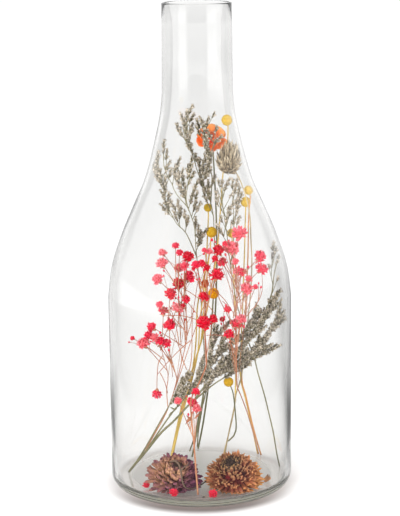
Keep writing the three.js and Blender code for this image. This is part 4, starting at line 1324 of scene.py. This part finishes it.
# %% The cone head
CONE_BASE = place(228, 172.5, -1.5)
CONE_TIP = place(230.6, 136.5, -1.5)
CONE_WIDE = 6.1
CONE_HALF = 7.4
CONE_MIDDLE = 7.2
CONE_RINGS = 15
CONE_MOST = 32
CONE_LOWEST = math.radians(-72)
CONE_SPAN = math.radians(128)
CONE_SUNK = 0.4


def cone_head():
    pick = random.Random(32)
    bunch = Bunch()
    seat = aimed(CONE_BASE, CONE_TIP - CONE_BASE)
    core = bmesh.new()
    bmesh.ops.create_uvsphere(core, u_segments=20, v_segments=12, radius=MM)
    bmesh.ops.scale(core, vec=(CONE_WIDE, CONE_WIDE, CONE_HALF), verts=core.verts)
    bmesh.ops.translate(core, vec=(0, 0, CONE_MIDDLE * MM), verts=core.verts)
    bunch.add(small_mesh(core), seat, 0.0)
    for ring in range(CONE_RINGS):
        t = ring / (CONE_RINGS - 1)
        round_up = CONE_LOWEST + CONE_SPAN * t
        count = round(CONE_MOST * max(0.3, math.cos(round_up)))
        radius = (CONE_WIDE * math.cos(round_up) - CONE_SUNK) * MM
        height = (CONE_MIDDLE + CONE_HALF * math.sin(round_up)) * MM
        rising = math.atan2(CONE_HALF * math.cos(round_up), -CONE_WIDE * math.sin(round_up))
        scale = petal(3.0 + 3.2 * t * t, 1.6 - 0.4 * t, thick=0.18, root=0.7, tip=0.06, wide=0.35, bend=0.5,
                      cup=-0.2, grid=(2, 3))
        for i in range(count):
            turn = 2 * math.pi * (i + 0.5 * (ring % 2)) / count + pick.uniform(-0.12, 0.12)
            lean = rising - 0.45 + pick.uniform(-0.45, 0.35)
            spot = lying(seat, lean, turn + pick.uniform(-0.1, 0.1), radius, height, pick.uniform(0.6, 1.25),
                         pick.uniform(-1.1, 1.1))
            bunch.add(scale, spot, pick.uniform(0, 1))
    bunch.piece("cone_scales", SCALE, "scale", "cone_head")


cone_head()

# %% [markdown]
# The everlasting heads are made of stiff papery bracts, ring upon ring round a dark middle. The lowest
# ring hangs down and out, and each ring above it stands steeper, until the last ones close in. A head has
# its first and last ring, and those between are worked out from the two.

# %% The everlasting heads
# A ring: count, radius, height, lean in radians, length, width and tone. A core: its upper radius, its lower
# one, its lowest point and its highest. Lengths are in millimetres.
MAUVE_HEAD = {
    "name": "mauve", "seed": 41, "at": (-16.2, -27.6), "tilt": 0.5, "roll": 0.22, "raised": 8.2,
    "core": (4.6, 8.6, -3.4, 4.2), "disc": 3.0, "turned_to": 1.8, "turned_tone": 0.42, "tone_power": 1.4,
    "spoon": 0.72, "tip": 0.72, "bend": 0.75, "grid": (4, 6), "rings": 12,
    "first": (32, 8.4, -4.2, -0.45, 10.2, 3.0, 0.08), "last": (15, 3.6, 4.8, 1.3, 4.2, 1.9, 0.98),
}
GOLD_HEAD = {
    "name": "gold", "seed": 42, "at": (19, -29.6), "tilt": 0.5, "roll": -0.2, "raised": 9.6,
    "core": (5.2, 9.4, -5, 5.2), "disc": 5.0, "turned_to": 2.1, "turned_tone": 0.25, "tone_power": 0.75,
    "spoon": 0.8, "tip": 0.5, "bend": 0.5, "grid": (3, 6), "rings": 14,
    "first": (40, 8.4, -6.4, -0.75, 11.2, 2.2, 0.08), "last": (20, 4.4, 5.4, 1.2, 4.6, 1.3, 1.0),
}
FLOOR_GIVE = 0.5 * MM
HEAD_REST = FLOOR_TOP + 0.3 * MM
HEAD_MARGIN = 0.5 * MM
FAR_ABOVE = 8
BRACT_SUNK = 0.9
EYE_FLORETS = 90
EYE_LIFT = 1.2
EYE_DOME = 1.3
EYE_FLORET = 2.2 * MM
EYE_THICK = 1.8 * MM


def pressed(z):
    """Lifts what would sink in the bottle's floor, softly, so that bracts keep their thickness."""
    over = (z - HEAD_REST) / FLOOR_GIVE
    return z if over > FAR_ABOVE else HEAD_REST + FLOOR_GIVE * math.log(1 + math.exp(over))


def ring_between(head, ring):
    """One ring's seven numbers. With a high tone power only the innermost rings are dark."""
    t = ring / (head["rings"] - 1)
    shares = [t * t, t, t, t, t * t, t, t ** head["tone_power"]]
    return [low + (high - low) * share for low, high, share in zip(head["first"], head["last"], shares)]


def bract_kinds(head, length, width):
    """Three bracts for one ring, from the straightest to the most curled."""
    return [
        petal(length, width, thick=0.18, root=0.42, tip=head["tip"], wide=head["spoon"],
              bend=head["bend"] + swing, cup=0.3, frill=0.03, grid=head["grid"], wave=1.2, curl=curl)
        for swing, curl in ((-0.15, 0.0), (0.1, 0.5), (0.25, 1.0))
    ]


def bract_rings(head, pick):
    """All rings of a head round a plain heart, upright at the origin."""
    bunch = Bunch()
    top_radius, low_radius, bottom, top = head["core"]
    heart = bmesh.new()
    bmesh.ops.create_cone(heart, cap_ends=True, segments=24, radius1=low_radius * MM,
                          radius2=top_radius * MM, depth=(top - bottom) * MM)
    bmesh.ops.translate(heart, vec=(0, 0, (top + bottom) / 2 * MM), verts=heart.verts)
    bunch.add(small_mesh(heart), None, 1.0)
    flat = Matrix.Identity(4)
    for ring in range(head["rings"]):
        count, radius, height, lean, length, width, tone = ring_between(head, ring)
        kinds = bract_kinds(head, length, width)
        phase = pick.uniform(0, 1)
        for i in range(round(count)):
            turn = 2 * math.pi * (i + phase) / round(count) + pick.uniform(-0.1, 0.1)
            leaning = lean + pick.uniform(-0.14, 0.14)
            spot = lying(flat, leaning, turn, (radius - BRACT_SUNK) * MM, height * MM,
                         pick.uniform(0.86, 1.06), pick.uniform(-0.4, 0.4))
            turned = head["turned_tone"] * math.cos(turn - head["turned_to"]) * (1 - tone)
            look = clamped(tone + turned + pick.uniform(-0.12, 0.12))
            bunch.add(pick.choice(kinds), spot, look)
    return bunch


def eye_florets(head, pick):
    """The middle of a head: small florets on a low dome, in the turns of a sunflower's seeds."""
    eye = Bunch()
    wide = head["disc"]
    base = head["core"][3] + EYE_LIFT
    for i in range(EYE_FLORETS):
        reach = math.sqrt((i + 0.5) / EYE_FLORETS) * wide
        turn = i * GOLDEN
        out = Vector((reach * math.cos(turn), reach * math.sin(turn), 0))
        at = out + Vector((0, 0, base + EYE_DOME * (1 - (reach / wide) ** 2)))
        size = EYE_FLORET * pick.uniform(0.8, 1.3)
        eye.add(FLORET, aimed(at * MM, out * 0.12 + Vector((0, 0, 1)), turn, size), pick.uniform(0, 1))
    eye.add(ball(3, stretch=(wide * MM, wide * MM, EYE_THICK), lift=base * MM), None, 0.0)
    return eye


def everlasting(head, material, slot):
    pick = random.Random(head["seed"])
    bunch = bract_rings(head, pick)
    eye = eye_florets(head, pick)
    middle = Vector((head["at"][0] * MM, head["at"][1] * MM, FLOOR_TOP + head["raised"] * MM))
    turned = Matrix.Rotation(head["roll"], 4, "Y") @ Matrix.Rotation(head["tilt"], 4, "X")
    seat = Matrix.Translation(middle) @ turned
    bmesh.ops.transform(bunch.bm, matrix=seat, verts=bunch.bm.verts)
    for vert in bunch.bm.verts:
        vert.co.z = pressed(vert.co.z)
        vert.co = inside(vert.co, HEAD_MARGIN)
    bmesh.ops.transform(eye.bm, matrix=seat, verts=eye.bm.verts)
    bunch.piece(f"{head['name']}_rings", material, slot, f"{head['name']}_bracts")
    eye.piece(f"{head['name']}_middle", DARK, "dark", f"{head['name']}_eye")


everlasting(MAUVE_HEAD, MAUVE, "mauve")
everlasting(GOLD_HEAD, GOLD, "gold_brown")

# %% [markdown]
# A dry tendril curls over the mauve head and down to the floor in front of it, thin and grey-brown.

# %% The tendril
TENDRIL = [
    (171, 462, -30), (173.5, 460.6, -31.5), (176.5, 461.2, -33.2), (179.5, 465, -36), (181.2, 472, -40),
    (182.3, 480, -43.5), (185, 486.5, -43.6), (189.5, 488.6, -41.4), (194, 488.4, -39.8), (197, 486.6, -38.6),
    (201.5, 484.4, -37), (206, 481, -34),
]
TENDRIL_ARM = [(181, 471, -39.5), (183.5, 467.5, -39.5), (187, 465.2, -39), (190, 461.5, -37.5)]
bunch = Bunch()
for line, thick in ((TENDRIL, 0.7), (TENDRIL_ARM, 0.5)):
    curve = flowing(route(line), 1.2 * MM)
    bunch.add(stem_mesh(curve, thick * MM, 0.6 * thick * MM, 6))
bunch.piece("mauve_tendril", TENDRIL_STEM, "mauve")

# %% [markdown]
# A few bits have fallen: three baby's breath florets, a curled scrap of bract and a dark fleck lie on the
# floor of the bottle.

# %% Fallen florets and the scrap
for number, tone in enumerate((0.35, 0.45, 0.4), 1):
    name = f"loose_floret_{number}"
    middle, radius = from_node(name)
    bunch = Bunch()
    bunch.add(BLOOMS[number - 1], aimed(middle, (0.3, -0.4, 0.8), number, radius * 1.1), tone)
    bunch.piece(f"{name}_petals", CORAL, "coral", name)

low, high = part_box("bract_scrap")
bunch = Bunch()
curled = petal(5.6, 4.4, thick=0.2, root=0.3, tip=0.5, wide=0.6, bend=0.4, cup=0.25, frill=0.3, grid=(6, 8),
               wave=2.8)
scrap_seat = Matrix.Translation(((low.x + high.x) / 2, (low.y + high.y) / 2, low.z + 0.2 * MM))
bunch.add(curled, lying(scrap_seat, 0.12, -0.5, -2.6 * MM), 0.1)
bunch.piece("bract_scrap_leaf", TAWNY_STEM, "gold_brown", "bract_scrap")

fleck = on_level(203.6, 497, FLOOR_TOP + 0.6 * MM)
bunch = Bunch()
bunch.add(BUD, aimed(fleck, (1, 0.1, 0), 0, 0.6 * MM), 0.2)
bunch.piece("dark_fleck", DARK, "dark")

# %% [markdown]
# The studio is as plain as the flowers allow: a white floor that runs past the picture's edge, an even
# white sky and two broad soft lamps. Clear glass on white would vanish. What makes it show is that it
# mirrors a room that isn't white all round, so a second floor lies just over the first one, and only the
# glass sees it. It is grey near the bottle, has dark and white sectors further out, and leaves a clear
# lane straight behind the bottle, where the glass is looked through. Rays that only go through the glass
# see it behind the bottle alone.

# %% The floor, and the floor that the glass sees
FLOOR_TINT = (0.86, 0.86, 0.86, 1)
# Painted shadow on the floor: a warm tint close round the bottle's base, and a lighter one under it.
SHADE_TINT = (0.18, 0.148, 0.138, 1)
UNDER_SHADOW_TINT = (0.24, 0.185, 0.165, 1)
UNDER_SHADOW_EDGE = 0.85 * BODY_RADIUS, 0.97 * BODY_RADIUS
SHADE_EDGE = 0.96 * BODY_RADIUS, 1.13 * BODY_RADIUS
FLOOR_HALF = 6.0
MIRROR_HALF = 5.0
LANE_MIDDLE = -0.006
LANE_HALF = 0.058
LANE_SHUT = 0.1
LANE_SPREAD = 0.08
ROOM_GLOW = 2.2
# Grey levels round the bottle, by the turn in degrees from the camera's side: left is negative.
CLOSE_GREYS = [
    (-180, 0.25), (-150, 0.12), (-130, 0.14), (-100, 0.2), (-40, 0.14), (0, 0.08), (60, 0.2), (115, 0.16),
    (145, 0.06), (180, 0.06),
]
NEAR_GREYS = [
    (-180, 0.5), (-140, 0.42), (-115, 0.26), (-85, 0.1), (-50, 0.06), (0, 0.08), (60, 0.12), (115, 0.18),
    (145, 0.3), (180, 0.3),
]
FAR_GREYS = [
    (-180, 0.35), (-130, 0.4), (-112, 0.75), (-90, 1), (-42, 0.85), (-33, 0.02), (33, 0.02), (40, 1),
    (66, 1), (76, 0.06), (112, 0.08), (130, 0.4), (180, 0.4),
]
SKYLINE_GREY = (0.45, 0.45, 0.45, 1)
# How far out, in metres, one list gives way to the next.
TO_NEAR = 0.14, 0.36
TO_FAR = 0.6, 1.25
TO_SKYLINE = 2.5, 5.0


def flat_square(name, half, level, material):
    bm = bmesh.new()
    bmesh.ops.create_grid(bm, x_segments=1, y_segments=1, size=half)
    bmesh.ops.translate(bm, vec=(0, 0, level), verts=bm.verts)
    mesh = bpy.data.meshes.new(name)
    bm.to_mesh(mesh)
    bm.free()
    mesh.materials.append(material)
    made = put_in_scene(name, mesh)
    return made


def greys(finish, turn, levels):
    share = turn * (1 / 360) + 0.5
    return finish.ramp(share, [((degrees + 180) / 360, (g, g, g, 1)) for degrees, g in levels])


def mirrored_share(finish):
    """1 for a ray that the glass has mirrored at least once, 0 for one that only went through."""
    depth = finish.ray("Glossy Depth")
    return depth.reckon("MINIMUM", depth, 1.0)


def mirrored_finish():
    finish = Finish("room in the glass")
    spot = finish.where()
    x = finish.part(spot, "X")
    y = finish.part(spot, "Y")
    front = y * -1
    turn = x.reckon("ARCTAN2", x, front) * (180 / math.pi)
    reach = finish.length(spot)
    level = greys(finish, turn, CLOSE_GREYS)
    level = finish.mix(finish.rise(reach, *TO_NEAR), level, greys(finish, turn, NEAR_GREYS))
    level = finish.mix(finish.rise(reach, *TO_FAR), level, greys(finish, turn, FAR_GREYS))
    level = finish.mix(finish.rise(reach, *TO_SKYLINE), level, SKYLINE_GREY)
    aside = x.reckon("ABSOLUTE", x - LANE_MIDDLE, 0.0)
    out_of_lane = aside + front.most(0.0) - y.most(0.0) * LANE_SPREAD
    at_back = finish.rise(y.reckon("DIVIDE", y, reach), 0.2, 0.5)
    shown = at_back + mirrored_share(finish) * (1 - at_back)
    cover = finish.rise(out_of_lane, LANE_HALF, LANE_SHUT) * shown
    glow = finish.node("Emission", {}, {"Color": level, "Strength": ROOM_GLOW})
    clear = finish.node("BsdfTransparent")
    surface = finish.node("MixShader", {}, {0: cover, 1: clear, 2: glow})
    finish.links.new(surface.socket, finish.out.inputs["Surface"])
    return finish.material


def floor_finish():
    """White, with a warm shadow painted round the base, deeper towards the front and lighter under it."""
    finish = Finish("white floor", roughness=0.95, specular_ior_level=0.0)
    spot = finish.where()
    front = finish.part(spot, "Y") * -1
    reach = finish.length(spot)
    # Painted shadow: the floor leans to the shade tints close round the base, most towards the front.
    close = 1 - finish.rise(reach, *SHADE_EDGE)
    ahead = finish.rise(front, 0.1 * BODY_RADIUS, BODY_RADIUS)
    shade_tint = finish.mix(finish.rise(reach, *UNDER_SHADOW_EDGE), UNDER_SHADOW_TINT, SHADE_TINT)
    finish.colour(finish.mix(close * (ahead * 0.75 + 0.12), FLOOR_TINT, shade_tint))
    return finish.material


flat_square("floor", FLOOR_HALF, -0.2 * MM, floor_finish())
mirrored = flat_square("room_in_glass", MIRROR_HALF, 0.4 * MM, mirrored_finish())
mirrored.visible_camera = mirrored.visible_diffuse = mirrored.visible_shadow = False

# %% [markdown]
# The sky is plain and white, and two soft lamps in front shape the petals. The camera stands where the
# photographer's eye stood, which is the same eye that every place above was read from.

# %% Light and the view
world = bpy.data.worlds.new("studio")
bpy.context.scene.world = world
world.use_nodes = True
SKY_LIGHT = 1.2
SKY_SLANT = 0.3
SKY_AHEAD_IN_GLASS = 0.12
SKY_ASIDE_IN_GLASS = 0.9
SKY_BEHIND_IN_GLASS = 1.1


class Sky(Finish):
    """The same way of wiring, for the world's light."""

    def __init__(self, lit):
        self.nodes = lit.node_tree.nodes
        self.links = lit.node_tree.links


def light_sky():
    """A white sky, a little brighter behind. In the glass it is dim in front, but only for mirrored rays."""
    sky = Sky(world)
    heading = sky.node("TexCoord", out="Generated")
    across = sky.part(heading, "X")
    behind = sky.part(heading, "Y")
    through_glass = sky.ray("Is Glossy Ray").most(sky.ray("Is Transmission Ray"))
    plain = behind * SKY_SLANT + SKY_LIGHT
    aside = sky.rise(across.reckon("ABSOLUTE", across, 0.0), 0.3, 0.8)
    ahead = aside * (SKY_ASIDE_IN_GLASS - SKY_AHEAD_IN_GLASS) + SKY_AHEAD_IN_GLASS
    in_glass = ahead + sky.rise(behind, 0.0, 0.4) * (SKY_BEHIND_IN_GLASS - ahead)
    in_glass = (in_glass - SKY_BEHIND_IN_GLASS) * mirrored_share(sky) + SKY_BEHIND_IN_GLASS
    strength = plain + through_glass * (in_glass - plain)
    sky.feed(sky.nodes["Background"].inputs["Strength"], strength)
    sky.nodes["Background"].inputs["Color"].default_value = (1, 1, 1, 1)


light_sky()


def soft_lamp(name, at, aim, size, power):
    data = bpy.data.lights.new(name, "AREA")
    data.shape = "RECTANGLE"
    data.size, data.size_y = size
    data.energy = power
    lamp = put_in_scene(name, data)
    lamp.location = at
    lamp.rotation_mode = "QUATERNION"
    lamp.rotation_quaternion = (Vector(aim) - Vector(at)).to_track_quat("-Z", "Y")
    lamp.visible_glossy = lamp.visible_transmission = False


LAMP_AIM = (0, 0, 0.15)
soft_lamp("key", (-0.7, -1.5, 0.5), LAMP_AIM, (0.5, 0.4), 24)
soft_lamp("fill", (0.9, -1.3, 0.4), LAMP_AIM, (0.6, 0.5), 8)

camera = bpy.data.cameras.new("view")
camera.sensor_width = 36
camera.lens = FOCAL / PICTURE_HEIGHT * camera.sensor_width
camera.clip_start = 0.05
viewer = put_in_scene("view", camera)
pan = (MIDDLE_PX - AXIS_PX) / FOCAL * EYE_DISTANCE
viewer.matrix_world = (
    Matrix.Translation((pan, -EYE_DISTANCE, EYE_HEIGHT))
    @ Matrix.Rotation(math.pi / 2 - EYE_TILT, 4, "X")
    @ Matrix.Rotation(-EYE_ROLL, 4, "Z")
)
bpy.context.scene.camera = viewer
bpy.context.scene.view_settings.view_transform = "Standard"
